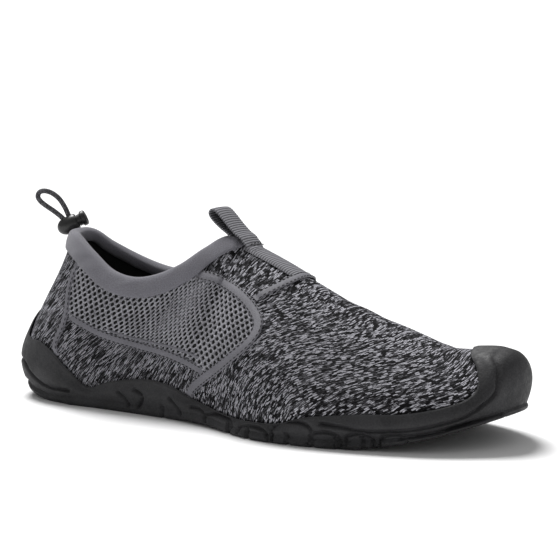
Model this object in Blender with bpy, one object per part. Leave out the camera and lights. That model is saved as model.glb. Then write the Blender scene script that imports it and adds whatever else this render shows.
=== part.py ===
"""Water shoe for the right foot: a knit slip-on upper in a moulded rubber cup sole.

X runs towards the toe, +Y is the medial side, Z is up and the floor is z = 0. The origin is in the
middle of the heel's flat; the sizes and functions below count x from the back of the heel.
"""
import math
from collections import namedtuple

import bmesh
import bpy
import numpy as np
from mathutils import Vector

# Overall size of the last
LENGTH = 0.280
ORIGIN_X = 0.057
BALL_WIDTH = 0.104
HEEL_HEIGHT = 0.085
THROAT_HEIGHT = 0.0865
COLLAR_WIDTH = 0.052
COLLAR_BACK = 0.0292
COLLAR_FRONT = 0.127
POLE_X = 0.230

# Sole
SOLE_THICKNESS = 0.0056
TOE_SPRING = 0.0165
HEEL_ROLL = 0.0085
ARCH_LIFT = 0.0012
RUBBER_WALL = 0.0030
RUBBER_LIP = 0.0010
GROOVE_DEPTH = 0.0022
GROOVE_WIDTH = 0.0020
TREAD_INSET = 0.0035
SIDE_BITE = 0.0015
NOTCH_HEIGHT = 0.0065
CUTTER_REACH = 0.008
CUTTER_DROP = 0.004

# Upper, insole and overlays
GAP = 0.0003
UPPER_WALL = 0.0022
TUCK = 0.0026
INSOLE_THICKNESS = 0.0035
BINDING_DEPTH = 0.0085
BINDING_THICKNESS = 0.0013
BINDING_GAP = 0.0006
LINING_GAP = 0.0011
CUP_GAP = 0.0005
TAPE_THICKNESS = 0.0009
MESH_THICKNESS = 0.0006
OVERLAY_GAP = 0.0006
PANEL_GAP = 0.0007
PANEL_MARGIN = 0.0012
SEAM_CLEARANCE = 0.035
QUARTER_TAPE_WIDTH = 0.0050
LOWER_TAPE_WIDTH = 0.0040
HEEL_TAPE_WIDTH = 0.0036
INSTEP_TAPE_WIDTH = 0.0042

# Webbing
WEBBING_WIDTH = 0.0130
WEBBING_THICKNESS = 0.0011
WEBBING_CAMBER = 0.0030

# Cord lock and drawcord
CORD_DIAMETER = 0.0026
LOCK_RADIUS = 0.0047
LOCK_BACK = 0.0065
LOCK_FRONT = 0.0045
BORE_RADIUS = 0.0034
BORE_END = 0.0030
PLUNGER_CLEARANCE = 0.0003
PLUNGER_TRAVEL = 0.0020
PLUNGER_HEAD = 0.0040
PLUNGER_HEAD_LENGTH = 0.0028
STRAND_SPACING = 0.0032
STRAND_DROP = -0.0066
STRAND_CLEARANCE = 0.0006
STRAND_STEP = 0.0016
STRAND_RUN = 0.0040
LOCK_CENTRE = (0.0200, 0.0038, 0.0854)
LOCK_AXIS = (0.75, 0.50, 0.43)
LOCK_FACING = (0.544, -0.828, 0.139)

# Shares of each side, from heel to toe, where the sections reach the throat and the toe's pole
THROAT_Q = 0.43
POLE_Q = 0.80

# Stations along each side of the shoe, and rows up the wall
COLLAR_STATIONS = 19
VAMP_STATIONS = 16
TOE_STATIONS = 9
UPPER_ROWS = 8
INSOLE_STATIONS = 21
CORD_POINTS = 26

# Plan of the sole, as shares of the length and of the ball width
Mark = namedtuple("Mark", "x y")
OUTLINE = [Mark(0.000, 0.000), Mark(0.036, -0.232), Mark(0.125, -0.328), Mark(0.250, -0.330), Mark(0.390, -0.348),
           Mark(0.500, -0.415), Mark(0.600, -0.505), Mark(0.700, -0.500), Mark(0.820, -0.420), Mark(0.900, -0.330),
           Mark(0.960, -0.195), Mark(0.994, -0.020), Mark(1.000, 0.090), Mark(0.985, 0.230), Mark(0.940, 0.350),
           Mark(0.860, 0.445), Mark(0.760, 0.490), Mark(0.680, 0.480), Mark(0.580, 0.410), Mark(0.470, 0.335),
           Mark(0.380, 0.305), Mark(0.250, 0.315), Mark(0.125, 0.320), Mark(0.036, 0.232)]
TOE_MARK = 12

# Topline: share of the way from the collar's back to its front, and height
# on each side as a share of the heel height
Topline = namedtuple("Topline", "at lateral medial")
THROAT_SHARE = THROAT_HEIGHT / HEEL_HEIGHT
TOPLINE = [Topline(0.00, 0.980, 0.980), Topline(0.10, 0.975, 0.892), Topline(0.25, 0.900, 0.798),
           Topline(0.42, 0.793, 0.743), Topline(0.58, 0.765, 0.743), Topline(0.70, 0.795, 0.782),
           Topline(0.82, 0.863, 0.860), Topline(0.92, 0.955, 0.955), Topline(1.00, THROAT_SHARE, THROAT_SHARE)]

# Ridge of the instep: x and sideways place as shares of the length, height as a share of the throat height
Ridge = namedtuple("Ridge", "x y z")
RIDGE = [Ridge(0.30, 0.0, 1.36), Ridge(COLLAR_FRONT / LENGTH, 0.000, 1.000), Ridge(0.560, 0.000, 0.850),
         Ridge(0.684, 0.004, 0.670), Ridge(0.770, 0.008, 0.575), Ridge(0.850, 0.012, 0.484), Ridge(0.95, 0.016, 0.42)]

# Sections: share of the way from heel to toe; bulge beyond the feather edge and its height (shares of the
# ball width and of the section's height); reach of the top (share of the chord); aim and lean in degrees
Section = namedtuple("Section", "q bulge_lateral bulge_medial rise reach aim lean")
SECTIONS = [
    Section(0.00, 0.100, 0.100, 0.29, 0.30, 0.0, 82.0),
    Section(0.10, 0.100, 0.100, 0.28, 0.42, 42.0, 74.0),
    Section(0.20, 0.065, 0.065, 0.32, 0.40, 78.0, 74.0),
    Section(0.30, 0.080, 0.080, 0.36, 0.38, 92.0, 74.0),
    Section(0.36, 0.090, 0.090, 0.38, 0.35, 105.0, 58.0),
    Section(THROAT_Q, 0.100, 0.095, 0.40, 0.30, 128.0, 14.0),
    Section(0.50, 0.120, 0.105, 0.44, 0.29, 98.0, 0.0),
    Section(0.58, 0.135, 0.120, 0.46, 0.28, 90.0, 0.0),
    Section(0.70, 0.140, 0.135, 0.48, 0.30, 90.0, 0.0),
    Section(POLE_Q, 0.130, 0.135, 0.54, 0.32, 90.0, 0.0),
    Section(0.90, 0.117, 0.122, 0.52, 0.40, 132.0, 0.0),
    Section(1.00, 0.096, 0.096, 1.49, 0.47, 180.0, 0.0)]

# Top edge of the rubber: share of the way along each side and share of the way up the wall
RubberEdge = namedtuple("RubberEdge", "q lateral medial")
RUBBER_EDGE = [
    RubberEdge(0.000, 0.435, 0.435), RubberEdge(0.040, 0.440, 0.440), RubberEdge(0.060, 0.410, 0.410),
    RubberEdge(0.075, 0.345, 0.345), RubberEdge(0.092, 0.338, 0.338), RubberEdge(0.120, 0.362, 0.350),
    RubberEdge(0.155, 0.325, 0.315), RubberEdge(0.198, 0.200, 0.210), RubberEdge(0.234, 0.080, 0.120),
    RubberEdge(0.266, 0.133, 0.160), RubberEdge(0.325, 0.160, 0.200), RubberEdge(0.386, 0.120, 0.170),
    RubberEdge(0.425, 0.066, 0.110), RubberEdge(0.476, 0.034, 0.060), RubberEdge(0.580, 0.034, 0.050),
    RubberEdge(0.623, 0.050, 0.060), RubberEdge(0.657, 0.100, 0.100), RubberEdge(0.731, 0.153, 0.150),
    RubberEdge(0.824, 0.155, 0.160), RubberEdge(0.873, 0.186, 0.190), RubberEdge(0.902, 0.213, 0.225),
    RubberEdge(0.918, 0.260, 0.270), RubberEdge(0.935, 0.400, 0.410), RubberEdge(0.948, 0.515, 0.520),
    RubberEdge(0.983, 0.620, 0.620), RubberEdge(1.000, 0.640, 0.640)]

# Grooves across the tread: place along the length, sweep of their ends, and whether they notch the side
Groove = namedtuple("Groove", "x sweep notch")
GROOVES = [
    Groove(0.090, 0.012, 0.0), Groove(0.165, 0.018, 0.0), Groove(0.240, 0.018, 0.0), Groove(0.390, -0.012, 1.0),
    Groove(0.560, -0.018, 1.0), Groove(0.615, -0.022, 1.0), Groove(0.695, -0.022, 1.0), Groove(0.737, -0.020, 1.0),
    Groove(0.777, -0.018, 1.0), Groove(0.817, -0.016, 1.0), Groove(0.870, -0.013, 0.0), Groove(0.925, -0.010, 0.0)]

# Routes of the tapes: share of the way along the side and up the wall
Step = namedtuple("Step", "q w")
QUARTER_TAPE = [Step(0.386, 0.765), Step(0.420, 0.680), Step(0.451, 0.640), Step(0.512, 0.617), Step(0.553, 0.560),
                Step(0.563, 0.493), Step(0.550, 0.390), Step(0.506, 0.267), Step(0.468, 0.187), Step(0.432, 0.105)]
LOWER_TAPE = [Step(0.170, 0.600), Step(0.217, 0.575), Step(0.294, 0.450), Step(0.382, 0.285), Step(0.452, 0.213)]
HEEL_TAPE = [Step(0.131, 0.880), Step(0.130, 0.760), Step(0.145, 0.650), Step(0.150, 0.567), Step(0.152, 0.485),
             Step(0.150, 0.390), Step(0.158, 0.345)]
INSTEP_TAPE = [Step(0.532, 0.640), Step(0.547, 0.723), Step(0.561, 0.833), Step(0.567, 1.000)]

# Edges of the mesh panel, between the tapes and the binding: back and front read from bottom to top,
# and the top edge runs along the binding between two shares of the side, then down the shoulder
MESH_BACK = [Step(0.166, 0.632), Step(0.158, 0.700), Step(0.149, 0.780)]
MESH_FRONT = [Step(0.448, 0.250), Step(0.502, 0.320), Step(0.536, 0.420), Step(0.532, 0.525)]
MESH_SHOULDER = [Step(0.398, 0.615), Step(0.445, 0.580), Step(0.498, 0.556), Step(0.532, 0.525)]
MESH_BOTTOM = [Step(0.166, 0.632), Step(0.217, 0.620), Step(0.294, 0.495), Step(0.382, 0.325), Step(0.448, 0.250)]
MESH_TOP = (0.152, 0.364)

# Centre line of the free loop of webbing, from the front of the collar, in widths of the webbing
Fold = namedtuple("Fold", "along up")
LOOP = [Fold(0.500, 0.054), Fold(0.269, 0.192), Fold(-0.038, 0.462), Fold(-0.385, 0.808), Fold(-0.615, 1.000),
        Fold(-0.808, 1.038), Fold(-0.885, 0.900), Fold(-0.769, 0.715), Fold(-0.500, 0.485), Fold(-0.231, 0.308)]
LOOP_BASE = (1.04, 0.81, 0.54, 0.35)

# Loop of the drawcord above the lock, along the lock's axis and upwards, in diameters of the cord
Bend = namedtuple("Bend", "along up")
CORD_LOOP = [Bend(0.65, 3.46), Bend(0.35, 5.54), Bend(-0.46, 7.15), Bend(-1.54, 8.15), Bend(-2.62, 8.38),
             Bend(-3.31, 7.69), Bend(-3.19, 6.62), Bend(-2.54, 5.31), Bend(-1.46, 3.46)]


def smooth_curve(table, name, at, flat_ends=True):
    """Read a smooth curve through one column of a table."""
    x = np.array([row[0] for row in table], float)
    y = np.array([getattr(row, name) for row in table], float)
    steps = np.diff(x)
    rises = np.diff(y) / steps
    slopes = np.zeros(len(x))
    slopes[1:-1] = (rises[:-1] * steps[1:] + rises[1:] * steps[:-1]) / (steps[1:] + steps[:-1])
    if not flat_ends:
        slopes[0] = rises[0]
        slopes[-1] = rises[-1]
    at = np.clip(np.asarray(at, float), x[0], x[-1])
    i = np.clip(np.searchsorted(x, at, side="right") - 1, 0, len(x) - 2)
    t = (at - x[i]) / steps[i]
    h = steps[i]
    return ((2 * t**3 - 3 * t**2 + 1) * y[i] + (t**3 - 2 * t**2 + t) * h * slopes[i]
            + (3 * t**2 - 2 * t**3) * y[i + 1] + (t**3 - t**2) * h * slopes[i + 1])


def root_gap(a, b):
    return np.sqrt(np.linalg.norm(b - a, axis=1))[:, None]


def closed_outline(marks, steps):
    """Round off the marks of the sole's plan into a closed curve."""
    p = np.array([(m.x * LENGTH, m.y * BALL_WIDTH) for m in marks])
    before, after, beyond = np.roll(p, 1, 0), np.roll(p, -1, 0), np.roll(p, -2, 0)
    d0, d1, d2 = root_gap(before, p), root_gap(p, after), root_gap(after, beyond)
    m1 = d1 * ((p - before) / d0 - (after - before) / (d0 + d1) + (after - p) / d1)
    m2 = d1 * ((after - p) / d1 - (beyond - p) / (d1 + d2) + (beyond - after) / d2)
    t = np.arange(steps)[None, :, None] / steps
    q = ((2 * t**3 - 3 * t**2 + 1) * p[:, None] + (t**3 - 2 * t**2 + t) * m1[:, None]
         + (3 * t**2 - 2 * t**3) * after[:, None] + (t**3 - t**2) * m2[:, None])
    return q.reshape(-1, 2)


PLAN_STEPS = 24
PLAN = closed_outline(OUTLINE, PLAN_STEPS)
PLAN_LOOP = np.vstack([PLAN, PLAN[:1]])
RUN = np.concatenate([[0.0], np.cumsum(np.linalg.norm(np.diff(PLAN_LOOP, axis=0), axis=1))])
TOE_RUN = RUN[TOE_MARK * PLAN_STEPS]


def plan_point(u):
    run = np.where(u <= 1.0, u * TOE_RUN, TOE_RUN + (u - 1.0) * (RUN[-1] - TOE_RUN))
    return np.stack([np.interp(run, RUN, PLAN_LOOP[:, 0]), np.interp(run, RUN, PLAN_LOOP[:, 1])], -1)


def plan(u, inset=0.0):
    """Points of the sole's plan, moved inwards by inset, and their outward directions."""
    u = np.mod(np.asarray(u, float), 2.0)
    here = plan_point(u)
    step = plan_point(np.mod(u + 0.006, 2.0)) - plan_point(np.mod(u - 0.006, 2.0))
    out = np.stack([step[..., 1], -step[..., 0]], -1)
    out = out / np.linalg.norm(out, axis=-1, keepdims=True)
    return here - out * np.asarray(inset)[..., None], out


def ground(x):
    """Height of the tread's underside above the floor."""
    share = np.asarray(x, float) / LENGTH
    heel = HEEL_ROLL * np.clip((0.125 - share) / 0.125, 0, 1) ** 2
    arch = ARCH_LIFT * np.sin(np.pi * np.clip((share - 0.36) / 0.20, 0, 1)) ** 2
    toe = TOE_SPRING * np.clip((share - 0.74) / 0.26, 0, 1) ** 1.8
    return heel + arch + toe


def floor(x):
    """Height of the cup's floor, on which the upper's feather edge stands."""
    return SOLE_THICKNESS + ground(x)


def mean_x(q):
    return (plan(q)[0][..., 0] + plan(2.0 - q)[0][..., 0]) / 2.0


def ridge_slope(x):
    h = 0.001
    return (ridge_height(x + h) - ridge_height(x - h)) / (2 * h)


def ridge_height(x):
    return THROAT_HEIGHT * smooth_curve(RIDGE, "z", x / LENGTH, flat_ends=False)


def top_edge(q, side):
    """Point and direction in which a section ends, on the topline or on the ridge."""
    phi = np.pi * np.clip(q / THROAT_Q, 0.0, 1.0)
    middle, half = (COLLAR_BACK + COLLAR_FRONT) / 2.0, (COLLAR_FRONT - COLLAR_BACK) / 2.0
    x_rim = middle - half * np.cos(phi)
    share = (x_rim - COLLAR_BACK) / (2.0 * half)
    z_rim = HEEL_HEIGHT * np.where(side < 0, smooth_curve(TOPLINE, "lateral", share),
                                   smooth_curve(TOPLINE, "medial", share))
    y_rim = side * COLLAR_WIDTH / 2.0 * np.sin(phi)
    start, end = mean_x(np.array(THROAT_Q)), mean_x(np.array(POLE_Q))
    x_ridge = COLLAR_FRONT + (POLE_X - COLLAR_FRONT) * np.clip((mean_x(q) - start) / (end - start), 0.0, 1.0)
    y_ridge = LENGTH * smooth_curve(RIDGE, "y", x_ridge / LENGTH)
    z_ridge = ridge_height(x_ridge)
    on_rim = q < THROAT_Q - 1e-9
    top = np.stack([np.where(on_rim, x_rim, x_ridge), np.where(on_rim, y_rim, y_ridge),
                    np.where(on_rim, z_rim, z_ridge)], -1)
    aim = np.radians(smooth_curve(SECTIONS, "aim", q, flat_ends=False))
    lean = np.radians(smooth_curve(SECTIONS, "lean", q))
    rise = np.where(on_rim, np.tan(lean), ridge_slope(x_ridge) * np.cos(aim))
    way = np.stack([np.cos(aim), -side * np.sin(aim), rise], -1)
    return top, way / np.linalg.norm(way, axis=-1, keepdims=True)


def surface(u, w):
    """Outer face of the upper: u runs round the shoe, w up the wall."""
    u, w = np.broadcast_arrays(np.mod(np.asarray(u, float), 2.0), np.asarray(w, float))
    side = np.where(u <= 1.0, -1.0, 1.0)
    q = np.where(u <= 1.0, u, 2.0 - u)
    flat, out = plan(u, RUBBER_WALL + GAP + TUCK)
    feather = np.concatenate([flat, floor(flat[..., 0])[..., None]], -1)
    outward = np.concatenate([out, np.zeros_like(out[..., :1])], -1)
    top, way = top_edge(q, side)
    bulge = BALL_WIDTH * np.where(side < 0, smooth_curve(SECTIONS, "bulge_lateral", q),
                                  smooth_curve(SECTIONS, "bulge_medial", q))
    tall = top[..., 2] - feather[..., 2]
    rise = tall * smooth_curve(SECTIONS, "rise", q)
    reach = smooth_curve(SECTIONS, "reach", q) * np.linalg.norm(top - feather, axis=-1)
    low = feather + outward * bulge[..., None] + np.array([0.0, 0.0, 1.0]) * rise[..., None]
    high = top - way * reach[..., None]
    t = w[..., None]
    return (1 - t)**3 * feather + 3 * (1 - t)**2 * t * low + 3 * (1 - t) * t**2 * high + t**3 * top


def normal(u, w):
    """Outward directions of the upper's face; along the ridge both sides share that of the ridge."""
    u, w = np.broadcast_arrays(np.mod(np.asarray(u, float), 2.0), np.asarray(w, float))
    step = 0.002
    along = surface(u + step, w) - surface(u - step, w)
    up = surface(u, np.minimum(w + step, 1.0)) - surface(u, np.maximum(w - step, 0.0))
    out = np.cross(along, up)
    q = np.where(u <= 1.0, u, 2.0 - u)
    x = surface(u, w)[..., 0]
    ridge = np.stack([-ridge_slope(x), np.zeros_like(x), np.ones_like(x)], -1)
    on_ridge = (q >= THROAT_Q - 1e-9) & (w > 1.0 - 1e-9)
    out = np.where(on_ridge[..., None], ridge, out)
    return out / np.linalg.norm(out, axis=-1, keepdims=True)


def raised(u, w, height):
    """Points at a height above the upper's outer face, negative for inside it."""
    return surface(u, w) + normal(u, w) * np.asarray(height)[..., None]


SEAT_U = np.linspace(0.0, 2.0, 161)[:-1]
SEAT_W = np.linspace(0.0, 1.0, 31)


def seat(points):
    """Find where points lie nearest on the upper's face."""
    points = np.atleast_2d(points)
    grid_u, grid_w = np.meshgrid(SEAT_U, SEAT_W, indexing="ij")
    cloud = surface(grid_u, grid_w).reshape(-1, 3)
    nearest = [int(np.argmin(np.sum((cloud - p) ** 2, axis=1))) for p in points]
    u, w = grid_u.ravel()[nearest], grid_w.ravel()[nearest]
    step = 0.001
    for _ in range(10):
        here = surface(u, w)
        along = (surface(u + step, w) - surface(u - step, w)) / (2 * step)
        high, low = np.minimum(w + step, 1.0), np.maximum(w - step, 0.0)
        up = (surface(u, high) - surface(u, low)) / (high - low)[:, None]
        miss = points - here
        a, b, c = np.sum(along**2, 1) + 1e-12, np.sum(along * up, 1), np.sum(up**2, 1)
        e, f = np.sum(along * miss, 1), np.sum(up * miss, 1)
        spread = a * c - b * b + 1e-12
        u = u + np.clip((c * e - b * f) / spread, -0.02, 0.02)
        w = np.clip(w + np.clip((a * f - b * e) / spread, -0.05, 0.05), 0.0, 1.0)
    return u, w


def smooth_route(points, count):
    """Evenly spaced points on a smooth curve through a route."""
    points = np.asarray(points, float)
    before = np.vstack([2 * points[0] - points[1], points[:-1]])
    after = np.vstack([points[1:], 2 * points[-1] - points[-2]])
    slopes = (after - before) / 2.0
    t = np.linspace(0.0, 1.0, 24, endpoint=False)[None, :, None]
    p, q, m, n = points[:-1, None], points[1:, None], slopes[:-1, None], slopes[1:, None]
    fine = ((2 * t**3 - 3 * t**2 + 1) * p + (t**3 - 2 * t**2 + t) * m
            + (3 * t**2 - 2 * t**3) * q + (t**3 - t**2) * n).reshape(-1, points.shape[1])
    fine = np.vstack([fine, points[-1]])
    run = np.concatenate([[0.0], np.cumsum(np.linalg.norm(np.diff(fine, axis=0), axis=1))])
    at = np.linspace(0.0, run[-1], count)
    return np.stack([np.interp(at, run, fine[:, k]) for k in range(points.shape[1])], -1)


def clear_scene():
    for item in list(bpy.data.objects):
        bpy.data.objects.remove(item, do_unlink=True)


def paint(name, colour, roughness):
    material = bpy.data.materials.new(name)
    material.use_nodes = True
    shader = material.node_tree.nodes["Principled BSDF"]
    shader.inputs["Base Color"].default_value = (*colour, 1.0)
    shader.inputs["Roughness"].default_value = roughness
    shader.inputs["Metallic"].default_value = 0.0
    return material


def add_sheet(shell, points, closed=False):
    """Add a grid of points as faces; closed joins its last line to its first."""
    rows, columns = points.shape[:2]
    verts = [[shell.verts.new(p) for p in line] for line in points]
    for i in range(rows if closed else rows - 1):
        here, there = verts[i], verts[(i + 1) % rows]
        for j in range(columns - 1):
            shell.faces.new((here[j], there[j], there[j + 1], here[j + 1]))


def settle(shell):
    """Move a body from the heel's back to the frame's origin."""
    bmesh.ops.translate(shell, verts=shell.verts, vec=(-ORIGIN_X, 0.0, 0.0))


def finish(shell, name, material):
    """Weld the sheets into one closed body and make it an object."""
    settle(shell)
    bmesh.ops.remove_doubles(shell, verts=shell.verts, dist=2e-6)
    bmesh.ops.dissolve_degenerate(shell, edges=shell.edges, dist=1e-7)
    bmesh.ops.triangulate(shell, faces=shell.faces)
    bmesh.ops.recalc_face_normals(shell, faces=shell.faces)
    mesh = bpy.data.meshes.new(name)
    shell.to_mesh(mesh)
    shell.free()
    mesh.materials.append(material)
    mesh.shade_smooth()
    mesh.set_sharp_from_angle(angle=math.radians(40))
    thing = bpy.data.objects.new(name, mesh)
    bpy.context.collection.objects.link(thing)
    return thing


def slab(name, lower, upper, material):
    """Closed solid between two open sheets of the same grid."""
    shell = bmesh.new()
    add_sheet(shell, lower)
    add_sheet(shell, upper)
    add_sheet(shell, np.stack([lower[0], upper[0]], 1))
    add_sheet(shell, np.stack([lower[-1], upper[-1]], 1))
    add_sheet(shell, np.stack([lower[:, 0], upper[:, 0]], 1))
    add_sheet(shell, np.stack([lower[:, -1], upper[:, -1]], 1))
    return finish(shell, name, material)


def ring(stations):
    """Stations of one side carried on round the other, for a closed ring."""
    return np.concatenate([stations, 2.0 - stations[-2:0:-1]])


def across(edge, heights):
    """Rows of points from the lateral to the medial half of a ring, at heights(x)."""
    half = len(edge) // 2
    lateral = edge[:half + 1]
    medial = edge[np.mod(-np.arange(half + 1), len(edge))]
    shares = np.linspace(0.0, 1.0, 5)[None, :, None]
    rows = lateral[:, None] * (1 - shares) + medial[:, None] * shares
    rows[:, 1:-1, 2] = heights(rows[:, 1:-1, 0])
    return rows


def rubber_edge(u):
    q = np.where(u <= 1.0, u, 2.0 - u)
    return np.where(u <= 1.0, smooth_curve(RUBBER_EDGE, "lateral", q), smooth_curve(RUBBER_EDGE, "medial", q))


def rubber_thickness(share):
    """Thickness of the rubber wall, from its thin top edge down."""
    t = np.clip(share * 1.6, 0.0, 1.0)
    return RUBBER_LIP + (RUBBER_WALL - RUBBER_LIP) * t * t * (3 - 2 * t)


def build_outsole(material):
    u = ring(side_stations())
    edge = rubber_edge(u)
    outer = [raised(u, edge * (1 - s), np.full_like(u, CUP_GAP + rubber_thickness(s))) for s in np.linspace(0, 1, 5)]
    base = outer[-1]
    for drop, inset in ((0.45, 0.54), (0.80, 0.66), (1.00, 1.00)):
        flat = plan(u, inset * TREAD_INSET)[0]
        under = ground(flat[:, 0])
        outer.append(np.column_stack([flat, under + (base[:, 2] - under) * (1 - drop)]))
    levels = np.linspace(1.0, 0.0, UPPER_ROWS + 1)[:-1]
    inner = [raised(u, np.minimum(level, edge), np.full_like(u, CUP_GAP)) for level in levels]
    corner = plan(u, RUBBER_WALL + TUCK)[0]
    inner.append(np.column_stack([corner, floor(corner[:, 0]) - GAP]))
    shell = bmesh.new()
    add_sheet(shell, np.stack(outer, 1), closed=True)
    add_sheet(shell, np.stack(inner, 1), closed=True)
    add_sheet(shell, np.stack([outer[0], inner[0]], 1), closed=True)
    add_sheet(shell, across(outer[-1], ground))
    add_sheet(shell, across(inner[-1], lambda x: floor(x) - GAP))
    sole = finish(shell, "outsole", material)
    for number, groove in enumerate(GROOVES):
        cut = sole.modifiers.new(f"groove_{number}", "BOOLEAN")
        cut.operation = "DIFFERENCE"
        cut.solver = "EXACT"
        cut.object = groove_cutter(groove, number)
    return sole


def half_widths(x):
    """Lateral and medial edges of the plan at x."""
    q = np.linspace(0.0, 1.0, 200)
    lateral, medial = plan(q)[0], plan(2.0 - q)[0]
    return np.interp(x, lateral[:, 0], lateral[:, 1]), np.interp(x, medial[:, 0], medial[:, 1])


def groove_cutter(groove, number):
    """A bent U-shaped slab that cuts a groove across the tread and up both sides."""
    x = groove.x * LENGTH
    lateral, medial = half_widths(x)
    bite = SIDE_BITE if groove.notch else -SIDE_BITE
    levels = {"below": -CUTTER_DROP, "roof": ground(x) + GROOVE_DEPTH, "top": ground(x) + NOTCH_HEIGHT}
    places = [lateral - CUTTER_REACH, *np.linspace(lateral + bite, medial - bite, 5), medial + CUTTER_REACH]
    last = len(places) - 1
    middle, reach = (lateral + medial) / 2, (medial - lateral) / 2
    shell = bmesh.new()
    corners = {}
    for end in (-1, 1):
        for k, y in enumerate(places):
            bow = groove.sweep * LENGTH * min(1.2, ((y - middle) / reach) ** 2)
            for level, z in levels.items():
                if (k, level) not in ((0, "roof"), (last, "roof")) and (level != "top" or k in (0, 1, last - 1, last)):
                    corners[k, level, end] = shell.verts.new((x + bow + end * GROOVE_WIDTH / 2, y, z))
    panels = [[(0, "below"), (1, "below"), (1, "roof"), (1, "top"), (0, "top")]]
    panels += [[(k, "below"), (k + 1, "below"), (k + 1, "roof"), (k, "roof")] for k in range(1, last - 1)]
    panels += [[(last - 1, "below"), (last, "below"), (last, "top"), (last - 1, "top"), (last - 1, "roof")]]
    for end in (-1, 1):
        for panel in panels:
            shell.faces.new([corners[k, level, end] for k, level in panel[::end]])
    outline = [(k, "below") for k in range(last + 1)] + [(last, "top"), (last - 1, "top")]
    outline += [(k, "roof") for k in range(last - 1, 0, -1)] + [(1, "top"), (0, "top")]
    for here, there in zip(outline, outline[1:] + outline[:1]):
        shell.faces.new((corners[(*here, -1)], corners[(*there, -1)], corners[(*there, 1)], corners[(*here, 1)]))
    return cutter_object(shell, f"groove_cutter_{number}")


def cutter_object(shell, name):
    settle(shell)
    bmesh.ops.recalc_face_normals(shell, faces=shell.faces)
    mesh = bpy.data.meshes.new(name)
    shell.to_mesh(mesh)
    shell.free()
    cutter = bpy.data.objects.new(name, mesh)
    bpy.context.collection.objects.link(cutter)
    cutter.hide_render = True
    cutter.display_type = "WIRE"
    return cutter


def build_insole(material):
    u = ring(np.linspace(0.0, 1.0, INSOLE_STATIONS))
    edge = plan(u, RUBBER_WALL + TUCK + UPPER_WALL + 3 * GAP)[0]
    low = np.column_stack([edge, floor(edge[:, 0])])
    high = low + np.array([0.0, 0.0, INSOLE_THICKNESS])
    shell = bmesh.new()
    add_sheet(shell, np.stack([low, high], 1), closed=True)
    add_sheet(shell, across(low, floor))
    add_sheet(shell, across(high, lambda x: floor(x) + INSOLE_THICKNESS))
    return finish(shell, "insole", material)


def side_stations():
    return np.concatenate([np.linspace(0.0, THROAT_Q, COLLAR_STATIONS + 1),
                           np.linspace(THROAT_Q, POLE_Q, VAMP_STATIONS + 1)[1:],
                           np.linspace(POLE_Q, 1.0, TOE_STATIONS + 1)[1:]])


def build_upper(material):
    stations = side_stations()
    u = ring(stations)
    rows = np.linspace(0.0, 1.0, UPPER_ROWS + 1)
    grid_u, grid_w = np.meshgrid(u, rows, indexing="ij")
    outer = surface(grid_u, grid_w)
    inner = raised(grid_u, grid_w, np.full_like(grid_u, -UPPER_WALL))
    shell = bmesh.new()
    add_sheet(shell, outer, closed=True)
    add_sheet(shell, inner, closed=True)
    add_sheet(shell, np.stack([outer[:, 0], inner[:, 0]], 1), closed=True)
    throat = int(np.argmin(abs(stations - THROAT_Q)))
    rim = np.mod(np.arange(-throat, throat + 1), len(u))
    add_sheet(shell, np.stack([outer[rim, -1], inner[rim, -1]], 1))
    return finish(shell, "upper", material)


def topline_frames():
    """Points round the topline with their outward and down-the-wall directions."""
    stations = side_stations()
    lateral = stations[stations <= THROAT_Q + 1e-9]
    u = np.concatenate([lateral, 2.0 - lateral[-2:0:-1]])
    point = surface(u, np.ones_like(u))
    out = normal(u, np.ones_like(u))
    run = np.roll(point, -1, 0) - np.roll(point, 1, 0)
    down = np.cross(run, out)
    return point, out, down / np.linalg.norm(down, axis=1, keepdims=True)


def build_binding(material):
    point, out, down = topline_frames()
    near, far = BINDING_GAP, -UPPER_WALL - LINING_GAP
    thick, deep = BINDING_THICKNESS, BINDING_DEPTH
    section = [(1.0 * deep, near), (1.0 * deep, near + 0.6 * thick), (0.6 * deep, near + thick),
               (0.2 * deep, near + thick), (0.0, near + 0.95 * thick), (-0.85 * thick, near + 0.45 * thick),
               (-1.3 * thick, -UPPER_WALL / 2), (-0.85 * thick, far - 0.45 * thick), (0.0, far - 0.95 * thick),
               (0.3 * deep, far - thick), (0.5 * deep, far - 0.6 * thick), (0.5 * deep, far),
               (0.25 * deep, far), (-BINDING_GAP, far), (-BINDING_GAP, near), (0.5 * deep, near)]
    lines = []
    for depth, height in section:
        if depth <= 0:
            lines.append(point + down * depth + out * height)
        else:
            u, w = seat(point + down * depth)
            lines.append(raised(u, w, np.full_like(u, height)))
    loop = np.stack(lines + lines[:1], 1)
    shell = bmesh.new()
    add_sheet(shell, loop, closed=True)
    return finish(shell, "collar_binding", material)


def route_points(steps, side):
    u = np.array([s.q if side < 0 else 2.0 - s.q for s in steps])
    return surface(u, np.maximum([s.w for s in steps], rubber_edge(u) + SEAM_CLEARANCE))


def tape(name, route, width, count, material):
    """A flat tape laid on the upper along a route of points."""
    centre = smooth_route(route, count)
    out = normal(*seat(centre))
    run = np.gradient(centre, axis=0)
    over = np.cross(run, out)
    over /= np.linalg.norm(over, axis=1, keepdims=True)
    lower, upper = [], []
    for share in (-0.5, 0.0, 0.5):
        u, w = seat(centre + over * width * share)
        lower.append(raised(u, w, np.full_like(u, OVERLAY_GAP)))
        crown = TAPE_THICKNESS if share == 0.0 else 0.7 * TAPE_THICKNESS
        upper.append(raised(u, w, np.full_like(u, OVERLAY_GAP + crown)))
    return slab(name, np.stack(lower, 1), np.stack(upper, 1), material)


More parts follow.
